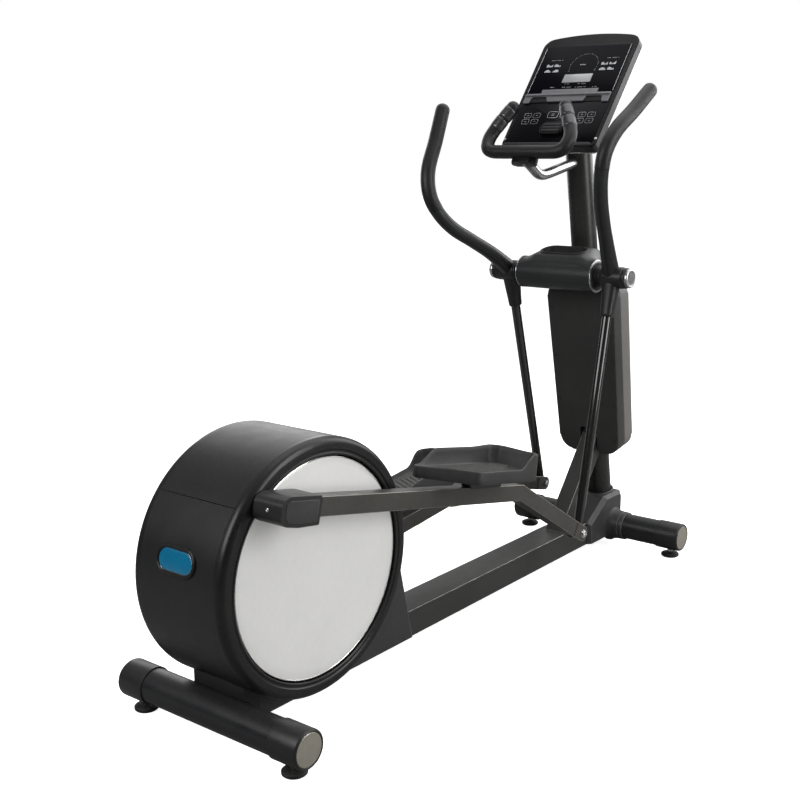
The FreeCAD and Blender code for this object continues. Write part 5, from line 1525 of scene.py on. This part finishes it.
@dataclass
class Pedal:
    """One foot pedal: a deep moulded tray with a serrated tread and a tapered underside."""

    maker: Maker
    side: str
    place: Matrix
    body: str
    deck: float = 0.0255
    skirt: float = 0.024
    plan: tuple[tuple[float, float, float], ...] = (
            (0.149, 0.482, 0.012), (0.172, 0.47, 0.014), (0.316, 0.542, 0.022), (0.316, 0.806, 0.028),
            (0.286, 0.832, 0.026), (0.168, 0.832, 0.026), (0.149, 0.812, 0.02))
    middle: Point2 = (0.2325, 0.656)
    outline_step: float = 0.007
    rib_pitch: float = 0.0165
    rib_turn: float = math.radians(24)

    def _outline(self, inset: float = 0.0) -> list[Point2]:
        """Return the plan, moved in by an inset, on the right-hand side."""
        corners = round_corners(self.plan, 7)
        middle = Vector(self.middle)
        points = []
        for first, second in zip(corners, corners[1:] + corners[:1]):
            pieces = max(1, math.ceil(math.dist(first, second) / self.outline_step))
            for step in range(pieces):
                share = step / pieces
                points.append((first[0] + (second[0] - first[0]) * share,
                               first[1] + (second[1] - first[1]) * share))
        return [(middle.x + (x - middle.x) * (1 - inset / 0.0835),
                 middle.y + (y - middle.y) * (1 - inset / 0.18)) for x, y in points]

    def _rim(self, x: float, y: float) -> float:
        """Return the height of the wall's rim above the deck at a point of the plan."""

        def climb(low: float, high: float, bottom: float, top: float) -> float:
            """Return an eased rise between two places along the pedal."""
            share = min(1.0, max(0.0, (y - low) / (high - low)))
            return bottom + (top - bottom) * share * share * (3 - 2 * share)

        inner = climb(0.49, 0.572, 0.006, 0.046) + climb(0.72, 0.82, 0.0, 0.005)
        outer = climb(0.728, 0.79, 0.009, 0.047)
        share = min(1.0, max(0.0, (x - 0.172) / 0.1))
        return inner + (outer - inner) * share * share * (3 - 2 * share)

    def build(self) -> None:
        """Build the tray, its tread and its under-block."""
        sign = SIDES[self.side]
        tray = self.maker.from_mesh("pedal_tray_" + self.side, lambda work: self._tray(work, sign), TRAY_SKIN,
                                    self.body, self.place, sharp=40)
        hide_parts("pedal_" + self.side)
        self.maker.from_mesh("pedal_tread_" + self.side, lambda work: self._tread(work, sign), TREAD_SKIN,
                             self.body, self.place, sharp=25)
        self.maker.slab("pedal_block_" + self.side, [(sign * x, y) for x,
                                                     y in oval(0.04, 0.06, (0.187, 0.6), 0.014)][::sign],
                        -0.074, -0.0605, RUBBER, self.body, self.place, edge=0.006, steps=4, sharp=50)

    def _tray(self, work: Work, sign: int) -> None:
        """Fill the bmesh with the tray's closed shell.

        Args:
            work: The bmesh.
            sign: The side's direction along X.
        """
        deck, low = self.deck, self.deck - self.skirt
        base = self._outline()
        steps: list[tuple[float, Callable[[float], float]]] = [
                (0.0035, lambda rim: low + 0.0006), (0.001, lambda rim: low), (0.0, lambda rim: low + 0.0014),
                (-0.0004, lambda rim: low + 0.012), (0.0004, lambda rim: deck + rim - 0.004),
                (0.0009, lambda rim: deck + rim - 0.0015), (0.002, lambda rim: deck + rim),
                (0.0036, lambda rim: deck + rim - 0.0002), (0.0048, lambda rim: deck + rim - 0.0018),
                (0.0062, lambda rim: deck + max(0.0035, rim * 0.75)), (0.0082, lambda rim: deck + 0.0045),
                (0.0106, lambda rim: deck + 0.0012), (0.0135, lambda rim: deck)]
        rings = []
        for inset, height in steps:
            ring = []
            for (x, y), (bx, by) in zip(self._outline(inset), base):
                ring.append(work.verts.new((sign * x, y, height(self._rim(bx, by)))))
            rings.append(ring)
        belly = []
        for inset, z, pull in (
                (0.006, low + 0.0006, 0.0), (0.014, low - 0.001, 0.1), (0.024, low - 0.005, 0.42),
                (0.03, low - 0.012, 0.78), (0.032, low - 0.022, 0.96), (0.033, low - 0.036, 1.0)):
            ring = []
            for x, y in self._outline(inset):
                near_x = min(0.2085, max(0.1655, x))
                near_y = min(0.818, max(0.66, y))
                ring.append(work.verts.new((sign * (x + (near_x - x) * pull), y + (near_y - y) * pull, z)))
            belly.append(ring)
        skin_all(work, rings)
        work.faces.new(rings[-1])
        skin_rings(work, rings[0], belly[0])
        skin_all(work, belly)
        work.faces.new(belly[-1])

    def _tread(self, work: Work, sign: int) -> None:
        """Fill the bmesh with diagonal ribs whose crests are notched.

        Args:
            work: The bmesh.
            sign: The side's direction along X.
        """
        field = self._outline(0.0165)
        along = Vector((math.cos(self.rib_turn), math.sin(self.rib_turn)))
        across = Vector((-along.y, along.x))
        for index in range(30):
            start = Vector((0.2325, 0.44)) + across * (index * self.rib_pitch)
            run = [start + along * (0.0035 * step) for step in range(-40, 41)]
            kept = [p for p in run if inside(field, p.x, p.y)]
            if len(kept) < 6:
                continue
            rings = []
            for step, point in enumerate(kept):
                end = step in (0, len(kept) - 1)
                crest = 0.0006 if end else (0.0034 if step % 2 else 0.0023)
                foot, top = across * 0.0036, across * (0.0008 if end else 0.0017)
                corners = [(point - foot, -0.0004), (point - top, crest), (point + top, crest),
                           (point + foot, -0.0004)]
                rings.append([work.verts.new((sign * q.x, q.y, self.deck + z)) for q, z in corners])
            skin_all(work, rings)
            work.faces.new(rings[0])
            work.faces.new(rings[-1])


@dataclass
class Console:
    """The console: arched shell, gloss face with its generic marks, ledge and control pod."""

    maker: Maker
    base: tuple[float, float, float] = (0.0, 0.518, 1.3477)
    tilt: float = math.radians(51.95)
    half: float = 0.171
    length: float = 0.444
    dial_centre: Point2 = (0.012, 0.312)
    dial_radius: float = 0.0475

    def place(self) -> Matrix:
        """Return the console's frame: y up the slab and z out of its face."""
        return Matrix.Translation(Vector(self.base)) @ Matrix.Rotation(self.tilt, 4, "X")

    def outline(self, grow: float = 0.0) -> list[Point2]:
        """Return the face's outline with its arched top.

        Args:
            grow: How far the outline is moved out.

        Returns:
            The outline's points.
        """
        half, low, high = self.half + grow, -grow, self.length + grow
        crown: list[tuple[float, float, float]] = [(half, high - 0.017, 0.036)]
        for step in range(1, 12):
            x = half * (1 - step / 6) * 0.86
            crown.append((x, high - 0.017 * (x / half) ** 2, 0.0))
        crown.append((-half, high - 0.017, 0.036))
        return round_corners([(-half + 0.004, low, 0.014), (half - 0.004, low, 0.014), *crown], 9)

    def build(self) -> None:
        """Build the whole console."""
        place = self.place()
        shell = self.maker.slab("console_shell", self.outline(), -0.0295, -0.0038, SHELL_GREY, "frame", place,
                                edge=0.0035, steps=4, sharp=40)
        neck = self.maker.slab("console_neck", oval(0.12, 0.15, (0, 0.135), 0.02), -0.088, -0.0285,
                               SHELL_BLACK, "frame", place, edge=0.008, steps=4, sharp=50)
        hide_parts("console_rear_shell")
        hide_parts("console_rear_shell")
        bezel = self.maker.slab("console_bezel", self.outline(-0.0022), -0.0042, 0.0006, SHELL_BLACK, "frame",
                                place, edge=0.0022, steps=3, sharp=40)
        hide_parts("console_face_plate")
        self.maker.slab("console_back_trim", self.outline(0.0007), -0.0308, -0.0276, SILVER, "frame", place,
                        edge=0.001)
        upper = round_corners([(-0.157, 0.206, 0.004), (0.157, 0.206, 0.004), (0.157, 0.397, 0.014),
                               (-0.157, 0.397, 0.014)], 8)
        self.maker.slab("console_upper_glass", upper, -0.0004, 0.0011, FACE_GLOSS, "frame", place,
                        edge=0.0004, steps=2)
        lower = round_corners([(-0.157, 0.014, 0.01), (0.157, 0.014, 0.01), (0.157, 0.184, 0.004),
                               (-0.157, 0.184, 0.004)], 8)
        self.maker.slab("console_lower_glass", lower, -0.0004, 0.0011, FACE_GLOSS, "frame", place,
                        edge=0.0004, steps=2)
        self._display(place)
        self._marks(place)
        self._ledge(place)
        self._pod(place)

    def _prints(self, name: str, outlines: Iterable[Sequence[Point2]], finish: Finish, place: Matrix,
                height: float = 0.0011) -> Piece:
        """Print several flat marks on the face as one thin piece.

        Args:
            name: The piece's name.
            outlines: The marks' outlines.
            finish: The print's finish.
            place: The console's frame.
            height: The face's height under the marks.

        Returns:
            The piece.
        """

        def build(work: Work) -> None:
            """Fill the bmesh with one thin plate for each mark."""
            for outline in outlines:
                fill_slab(work, outline, height - 0.0002, height + 0.00022, 0.0, 1)

        return self.maker.from_mesh(name, build, finish, "frame", place, sharp=20)

    def _rings(self, name: str, shapes: Iterable[tuple[Point2, float, float, float]], line: float,
               finish: Finish, place: Matrix) -> Piece:
        """Print rounded key outlines.

        Args:
            name: The piece's name.
            shapes: Each key's middle, width, height and corner radius.
            line: The width of the printed line.
            finish: The print's finish.
            place: The console's frame.

        Returns:
            The piece.
        """

        def build(work: Work) -> None:
            """Fill the bmesh with one frame for each key."""
            for middle, width, height, corner in shapes:
                outer = oval(width, height, middle, corner, 6)
                inner = oval(width - 2 * line, height - 2 * line, middle, max(0.0006, corner - line), 6)
                rings = [[work.verts.new((x, y, z)) for x, y in points] for points,
                         z in ((outer, 0.001), (outer, 0.0014), (inner, 0.0014), (inner, 0.001))]
                for first, second in zip(rings, [*rings[1:], rings[0]]):
                    skin_rings(work, first, second)

        return self.maker.from_mesh(name, build, finish, "frame", place, sharp=30)

    def _display(self, place: Matrix) -> None:
        """Build the crystal window, its dark frame and its faint segments.

        Args:
            place: The console's frame.
        """
        window = self.maker.slab("display_crystal", oval(0.1, 0.032, (0.008, 0.264), 0.0015), 0.0006, 0.00145,
                                 CRYSTAL, "frame", place, edge=0.0003, steps=2)
        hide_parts("display_window")
        self._rings("display_frame", [((0.008, 0.264), 0.1036, 0.0356, 0.003)], 0.0018, SHELL_BLACK, place)
        segments = []
        for group, middle in enumerate((-0.026, 0.008, 0.042)):
            for digit in range(3):
                x = middle + (digit - 1) * 0.0085
                for dy in (-0.006, 0.0, 0.006):
                    segments.append(oval(0.0048, 0.0007, (x, 0.264 + dy), 0.0003, 2))
                for dx in (-0.0028, 0.0028):
                    segments.append(oval(0.0007, 0.0046, (x + dx, 0.267 if (group + digit) % 2 else 0.261),
                                         0.0003, 2))
        self._prints("display_segments", segments, PRINT_DIM, place, 0.0015)

    def _marks(self, place: Matrix) -> None:
        """Print the face's generic marks: dial, pictograms, caption bars and keys.

        Args:
            place: The console's frame.
        """
        centre = Vector(self.dial_centre)
        ticks = []
        for step in range(29):
            turn = math.radians(-22 + 224 * step / 28)
            way = Vector((math.cos(turn), math.sin(turn)))
            side = Vector((-way.y, way.x)) * 0.0009
            reach = 0.0022 if step % 4 else 0.0042
            at = centre + way * self.dial_radius
            ticks.append([tuple(at - side), tuple(at + way * reach - side), tuple(at + way * reach + side),
                          tuple(at + side)])
        self._prints("dial_ticks", ticks, PRINT_DIM, place)
        self._prints("dial_mark", [oval(0.0062, 0.0022, (0.0 + i * 0.0075, 0.318), 0.0006, 2)
                                   for i in range(3)], PRINT_WHITE, place)
        icons = []
        for sign in (-1, 1):
            for column in range(2):
                for row in range(2):
                    left = sign * 0.0985 + 0.003 + (column - 1) * 0.0285
                    low = 0.292 + row * 0.0215
                    for bar in range(6):
                        height = 0.003 + 0.0085 * abs(math.sin((bar + 1 + row * 2 + column * sign) * 0.5))
                        x = left + bar * 0.0038
                        icons.append([(x, low), (x + 0.0033, low), (x + 0.0033, low + height),
                                      (x, low + height * 0.82)])
        self._prints("programme_pictograms", icons, PRINT_WHITE, place)
        bars = []
        for middle, width, y in (
                (-0.092, 0.044, 0.34), (0.108, 0.044, 0.34), (-0.02, 0.018, 0.2425), (0.033, 0.031, 0.2415),
                (-0.067, 0.022, 0.2305), (-0.017, 0.034, 0.2295), (0.033, 0.038, 0.2285),
                (0.083, 0.018, 0.2275)):
            count = max(2, int(width / 0.0042))
            for step in range(count):
                if (step * 7 + int(width * 1000)) % 5:
                    bars.append(oval(0.0029, 0.0026, (middle - width / 2 + (step + 0.5) * 0.0042, y), 0.0007,
                                     2))
        self._prints("caption_bars", bars, PRINT_DIM, place)
        keys = [((sign * 0.097 + dx, 0.1085 + dy), 0.026, 0.0185, 0.005) for sign in (-1, 1)
                for dx in (-0.0165, 0.0165) for dy in (-0.0118, 0.0118)]
        self._rings("key_outlines", keys, 0.0009, PRINT_WHITE, place)
        self._rings("centre_key_outlines", [((sign * 0.0225, 0.122), 0.038, 0.025, 0.0075)
                                            for sign in (-1, 1)], 0.0012, PRINT_WHITE, place)
        signs = []
        for (x, y), *_ in keys:
            signs += [oval(0.0085, 0.0012, (x, y), 0.0004, 2), oval(0.0012, 0.0065, (x, y), 0.0004, 2)]
        signs += [oval(0.011, 0.0016, (sign * 0.0225, 0.122 + dy), 0.0005, 2) for sign in (-1, 1)
                  for dy in (-0.0028, 0.0028)]
        self._prints("key_signs", signs, PRINT_DIM, place)
        for side, sign in SIDES.items():
            line = [place @ Vector((sign * 0.1515, 0.21 + 0.182 * i / 12, 0.0013)) for i in range(13)]
            self.maker.tube("face_line_" + side, line, lambda share: 0.0007, SILVER, "frame", sides=10)

    def _ledge(self, place: Matrix) -> None:
        """Build the grey strip and the book ledge with its two dark pockets.

        Args:
            place: The console's frame.
        """
        strip = round_corners([(-0.099, 0.2055, 0.001), (0.099, 0.2055, 0.001), (0.101, 0.221, 0.001),
                               (-0.101, 0.221, 0.001)], 3)
        self.maker.slab("caption_strip", strip, 0.0006, 0.0028, LEDGE_GREY, "frame", place, edge=0.0007)
        shape = [(-0.152, 0.204, 0.002), (-0.152, 0.168, 0.003), (-0.13, 0.168, 0.003),
                 (-0.124, 0.1915, 0.004), (-0.072, 0.1915, 0.004), (-0.065, 0.172, 0.003),
                 (0.065, 0.172, 0.003), (0.072, 0.1915, 0.004), (0.124, 0.1915, 0.004), (0.13, 0.168, 0.003),
                 (0.152, 0.168, 0.003), (0.152, 0.204, 0.002)]
        ledge = self.maker.slab("book_ledge", round_corners(shape, 4), 0.0006, 0.0052, LEDGE_GREY, "frame",
                                place, edge=0.0012, steps=3, sharp=40)
        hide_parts("rack_and_pod")
        lip = round_corners([(-0.15, 0.1925, 0.0012), (0.15, 0.1925, 0.0012), (0.15, 0.1965, 0.0012),
                             (-0.15, 0.1965, 0.0012)], 3)
        self.maker.slab("ledge_lip", lip, 0.005, 0.0105, LEDGE_GREY, "frame", place, edge=0.001)
        for side, sign in SIDES.items():
            pocket = round_corners([(sign * 0.067, 0.171, 0.003), (sign * 0.128, 0.171, 0.003),
                                    (sign * 0.122, 0.1905, 0.003), (sign * 0.074, 0.1905, 0.003)][::sign], 4)
            self.maker.slab(
                    "ledge_pocket_" + side, pocket, 0.0006, 0.003, PIT_SKIN, "frame", place, edge=0.0008)

    def _pod(self, place: Matrix) -> None:
        """Build the ribbed control pod, the lower lip and the two lower bolts.

        Args:
            place: The console's frame.
        """
        pod = self.maker.slab("control_pod", oval(0.078, 0.044, (0, 0.062), 0.014), 0.0004, 0.0145,
                              SHELL_BLACK, "frame", place, edge=0.0055, steps=5, sharp=50)
        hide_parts("rack_and_pod")
        for row in range(3):
            self.maker.slab(f"pod_ridge_{row}", oval(0.06, 0.0062, (0, 0.052 + row * 0.0105), 0.003), 0.0135,
                            0.0158, SHELL_GREY, "frame", place, edge=0.0011, steps=3, sharp=50)
        lip = round_corners([(-0.158, 0.0016, 0.004), (0.158, 0.0016, 0.004), (0.15, 0.0125, 0.004),
                             (-0.15, 0.0125, 0.004)], 5)
        self.maker.slab("console_lower_lip", lip, -0.003, 0.0062, SHELL_GREY, "frame", place, edge=0.0022,
                        steps=4, sharp=50)
        for side, sign in SIDES.items():
            at = place @ Vector((sign * 0.161, 0.03, 0.0006))
            button = [(-0.0004, 0.0), (-0.0004, 0.0042), (0.0006, 0.0042), (0.0014, 0.0034), (0.0016, 0.002),
                      (0.0012, 0.0)]
            self.maker.lathe("console_bolt_" + side, button, at, place.to_3x3() @ Vector((0, 0, 1)), STEEL,
                             "frame", steps=28)


@dataclass
class GripBar:
    """The fixed foam-covered grip loop in front of the console, its sensors, clamp and support."""

    maker: Maker
    radius: float = 0.02
    half_line: tuple[tuple[float, float, float], ...] = (
            (83, 486, 1477), (101, 469.5, 1449), (119.5, 453, 1420.5), (134.5, 438, 1393), (141, 422, 1368.5),
            (134, 405, 1344), (112, 398.8, 1333.5), (78, 398, 1332), (38, 398, 1332))
    support: tuple[tuple[float, float, float], ...] = (
            (0, 404, 1309), (0, 430, 1297), (0, 455, 1282), (0, 478, 1269.5), (0, 503, 1265.5),
            (0, 535, 1269.5), (0, 580, 1278.5), (0, 640, 1291), (0, 700, 1303))

    def build(self) -> None:
        """Build the loop, its sensors, clamp and support."""
        right = [mm(x, y, z) for x, y, z in self.half_line]
        left = [Vector((-p.x, p.y, p.z)) for p in reversed(right)]
        line = smooth_line([*right, mm(0, 398, 1332), *left], 8)
        ends = 0.019
        total = line_length(line)

        def radius(share: float) -> float:
            """Return the foam's radius, closed by a dome at both ends."""
            edge = min(share, 1 - share) * total
            past = max(0.0, 1 - edge / ends)
            return max(0.0006, self.radius * math.sqrt(max(0.0, 1 - past ** 2)))

        start = [line[0].lerp(line[1], t) for t in (0.0, 0.02, 0.07, 0.15, 0.27, 0.42, 0.6, 0.8)]
        finish = [line[-1].lerp(line[-2], t) for t in (0.8, 0.6, 0.42, 0.27, 0.15, 0.07, 0.02, 0.0)]
        foam = self.maker.tube("grip_loop_foam", start + line[1:-1] + finish, radius, FOAM, "frame", sides=44)
        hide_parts("fixed_grip_bar")
        self._sensors(line, total)
        self._support()

    def _sensors(self, line: list[Vector], total: float) -> None:
        """Wrap the satin pulse plates round both arms of the loop.

        Args:
            line: The loop's line.
            total: Its length.
        """
        for side, flip in (("right", False), ("left", True)):
            for row, start in enumerate((0.026, 0.066)):
                low, high = (total - start - 0.034, total - start) if flip else (start, start + 0.034)
                run = cut_line(line, low, high)
                fine = [run[0].lerp(run[1], t) for t in (0.0, 0.1, 0.25, 0.5)] + run[1:-1]
                fine += [run[-1].lerp(run[-2], t) for t in (0.5, 0.25, 0.1, 0.0)]

                def radius(share: float) -> float:
                    """Return the plate's radius, eased down into the foam at both ends."""
                    edge = min(1.0, min(share, 1 - share) * 9)
                    return self.radius - 0.0012 + 0.0024 * math.sqrt(1 - (1 - edge) ** 2)

                plate = self.maker.tube(f"pulse_plate_{row}_{side}", fine, radius, SENSOR, "frame", sides=40)
                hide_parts("pulse_sensors")

    def _support(self) -> None:
        """Build the satin support tube and the clamp under the loop."""
        line = smooth_line([mm(x, y, z) for x, y, z in self.support], 8)
        tube = self.maker.tube("grip_support_tube", line, lambda share: 0.0158, SILVER, "frame", sides=40)
        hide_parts("grip_support")
        place = Matrix.Translation(mm(0, 400, 1309)) @ Matrix.Rotation(math.radians(-22), 4, "X")
        block = round_corners([(-0.03, -0.019, 0.006), (0.03, -0.019, 0.006), (0.042, 0.004, 0.006),
                               (0.038, 0.02, 0.006), (-0.038, 0.02, 0.006), (-0.042, 0.004, 0.006)], 6)
        self.maker.slab("grip_clamp", block, -0.0135, 0.012, SHELL_BLACK, "frame", place, edge=0.0045,
                        steps=4, sharp=50)
        collar = [(-0.004, 0.0), (-0.004, 0.0178), (0.0, 0.0198), (0.009, 0.0198), (0.0112, 0.0186),
                  (0.012, 0.016), (0.012, 0.0)]
        self.maker.lathe("support_collar", collar, mm(0, 704, 1303.8), mm(0, -600, -125), MAST_PAINT, "frame",
                         steps=48)


# ------------------------------------------------------------------ studio and assembly


@dataclass
class Studio:
    """A pale floor, soft lamps and the camera."""

    camera_at: tuple[float, float, float] = (1.87295, -2.44041, 1.31324)
    yaw: float = math.radians(-36.160)
    pitch: float = math.radians(-12.021)
    roll: float = math.radians(0.241)
    lens: float = 50.894
    shift: Point2 = (-0.08399, -0.0012)
    floor_half: float = 30.0
    world_strength: float = 0.8
    floor_glow: float = 0.84
    floor_bounce: Colour = (0.26, 0.26, 0.255)

    def build(self) -> None:
        """Build the floor, the lamps, the surroundings and the camera."""
        self._camera()
        self._floor()
        self._world()
        lamps = (("lamp_above", (0.2, 0.9, 3.4), (0.0, 0.0, 0.4), (3.0, 3.6), 55.0),
                 ("lamp_far_side", (-3.2, 1.8, 2.0), (0.0, 0.1, 0.6), (2.4, 2.6), 36.0),
                 ("lamp_near_side", (3.2, 0.9, 1.7), (0.0, 0.0, 0.7), (1.6, 2.6), 90.0),
                 ("lamp_behind", (1.2, 3.4, 2.2), (0.0, 0.3, 0.8), (2.6, 2.2), 60.0),
                 ("lamp_user_side", (-0.7, -3.4, 2.3), (0.0, -0.2, 0.5), (2.6, 1.8), 90.0))
        for name, at, aim, size, power in lamps:
            self._lamp(name, Vector(at), Vector(aim), size, power)

    def _camera(self) -> None:
        """Place the camera."""
        cy, sy, cp, sp = math.cos(self.yaw), math.sin(self.yaw), math.cos(self.pitch), math.sin(self.pitch)
        ahead = Vector((sy * cp, cy * cp, sp))
        level = Vector((cy, -sy, 0))
        rise = level.cross(ahead)
        right = level * math.cos(self.roll) + rise * math.sin(self.roll)
        up = rise * math.cos(self.roll) - level * math.sin(self.roll)
        data = bpy.data.cameras.new("viewpoint")
        data.lens, data.sensor_width = self.lens, 36.0
        data.shift_x, data.shift_y = self.shift
        camera = bpy.data.objects.new("viewpoint", data)
        camera.matrix_world = frame_matrix(Vector(self.camera_at), right, up, -ahead)
        bpy.context.scene.collection.objects.link(camera)
        bpy.context.scene.camera = camera

    def _floor(self) -> None:
        """Lay the pale floor."""
        work = bmesh.new()
        bmesh.ops.create_grid(work, x_segments=8, y_segments=8, size=self.floor_half)
        mesh = bpy.data.meshes.new("studio_floor")
        work.to_mesh(mesh)
        work.free()
        floor = bpy.data.objects.new("studio_floor", mesh)
        bpy.context.scene.collection.objects.link(floor)
        made = bpy.data.materials.new("pale_floor")
        made.use_nodes = True
        tree = made.node_tree
        shader = next(n for n in tree.nodes if n.type == "BSDF_PRINCIPLED")
        where = tree.nodes.new("ShaderNodeTexCoord")
        speck = tree.nodes.new("ShaderNodeTexNoise")
        speck.inputs["Scale"].default_value = 3.0
        tree.links.new(where.outputs["Object"], speck.inputs["Vector"])
        rays = tree.nodes.new("ShaderNodeLightPath")
        pale = mix_colours(tree, speck.outputs["Fac"], (0.86, 0.86, 0.86), (0.9, 0.9, 0.9))
        tree.links.new(mix_colours(tree, rays.outputs["Is Camera Ray"], self.floor_bounce, pale),
                       shader.inputs["Base Color"])
        shader.inputs["Roughness"].default_value = 0.7
        shader.inputs["Specular IOR Level"].default_value = 0.1
        shader.inputs["Emission Color"].default_value = (1.0, 1.0, 1.0, 1.0)
        tree.links.new(math_node(tree, "MULTIPLY", rays.outputs["Is Camera Ray"], self.floor_glow),
                       shader.inputs["Emission Strength"])
        floor.data.materials.append(made)

    def _world(self) -> None:
        """Light the surroundings softly, brighter above and in front of the machine than behind."""
        world = bpy.data.worlds.new("studio")
        world.use_nodes = True
        bpy.context.scene.world = world
        tree = world.node_tree
        background = next(n for n in tree.nodes if n.type == "BACKGROUND")
        out = next(n for n in tree.nodes if n.type == "OUTPUT_WORLD")
        where = tree.nodes.new("ShaderNodeTexCoord")
        split = tree.nodes.new("ShaderNodeSeparateXYZ")
        tree.links.new(where.outputs["Generated"], split.inputs[0])
        front = math_node(tree, "MULTIPLY", split.outputs["Y"], 0.6)
        above = math_node(tree, "MULTIPLY", split.outputs["Z"], 0.3)
        share = math_node(tree, "ADD", math_node(tree, "ADD", front, above), 0.26, clamp=True)
        tree.links.new(mix_colours(tree, share, (0.03, 0.03, 0.032), (1.0, 1.0, 1.0)),
                       background.inputs["Color"])
        background.inputs["Strength"].default_value = self.world_strength
        seen = tree.nodes.new("ShaderNodeBackground")
        seen.inputs["Color"].default_value = (1.0, 1.0, 1.0, 1.0)
        rays = tree.nodes.new("ShaderNodeLightPath")
        mix = tree.nodes.new("ShaderNodeMixShader")
        tree.links.new(rays.outputs["Is Camera Ray"], mix.inputs[0])
        tree.links.new(background.outputs[0], mix.inputs[1])
        tree.links.new(seen.outputs[0], mix.inputs[2])
        tree.links.new(mix.outputs[0], out.inputs[0])
        view = bpy.context.scene.view_settings
        view.view_transform = "Standard"
        view.look = "None"

    @staticmethod
    def _lamp(name: str, at: Vector, aim: Vector, size: Point2, power: float) -> None:
        """Hang one soft rectangular lamp.

        Args:
            name: The lamp's name.
            at: Where it hangs.
            aim: The point it faces.
            size: Its width and height.
            power: Its power in watts.
        """
        data = bpy.data.lights.new(name, "AREA")
        data.shape, data.size, data.size_y, data.energy = "RECTANGLE", size[0], size[1], power
        lamp = bpy.data.objects.new(name, data)
        lamp.location = at
        lamp.rotation_mode = "QUATERNION"
        lamp.rotation_quaternion = (aim - at).to_track_quat("-Z", "Y")
        bpy.context.scene.collection.objects.link(lamp)


def main() -> None:
    """Load the frame and build every class in order."""
    logging.basicConfig(level=logging.INFO, format="%(message)s")
    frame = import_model()
    shop = FinishShop()
    maker = Maker(shop)
    Studio().build()
    dress_frame(shop, frame["nodes"])
    Stabilizers(maker).build()
    Drum(maker).build()
    for side, lean in (("right", -12.5), ("left", 15.0)):
        SwingArm(maker, side, lean).build()
        FootLink(maker, side).build()
    PivotHousing(maker).build()
    MastShield(maker).build()
    BaseCover(maker).build()
    Console(maker).build()
    GripBar(maker).build()


if __name__ == "__main__":
    main()
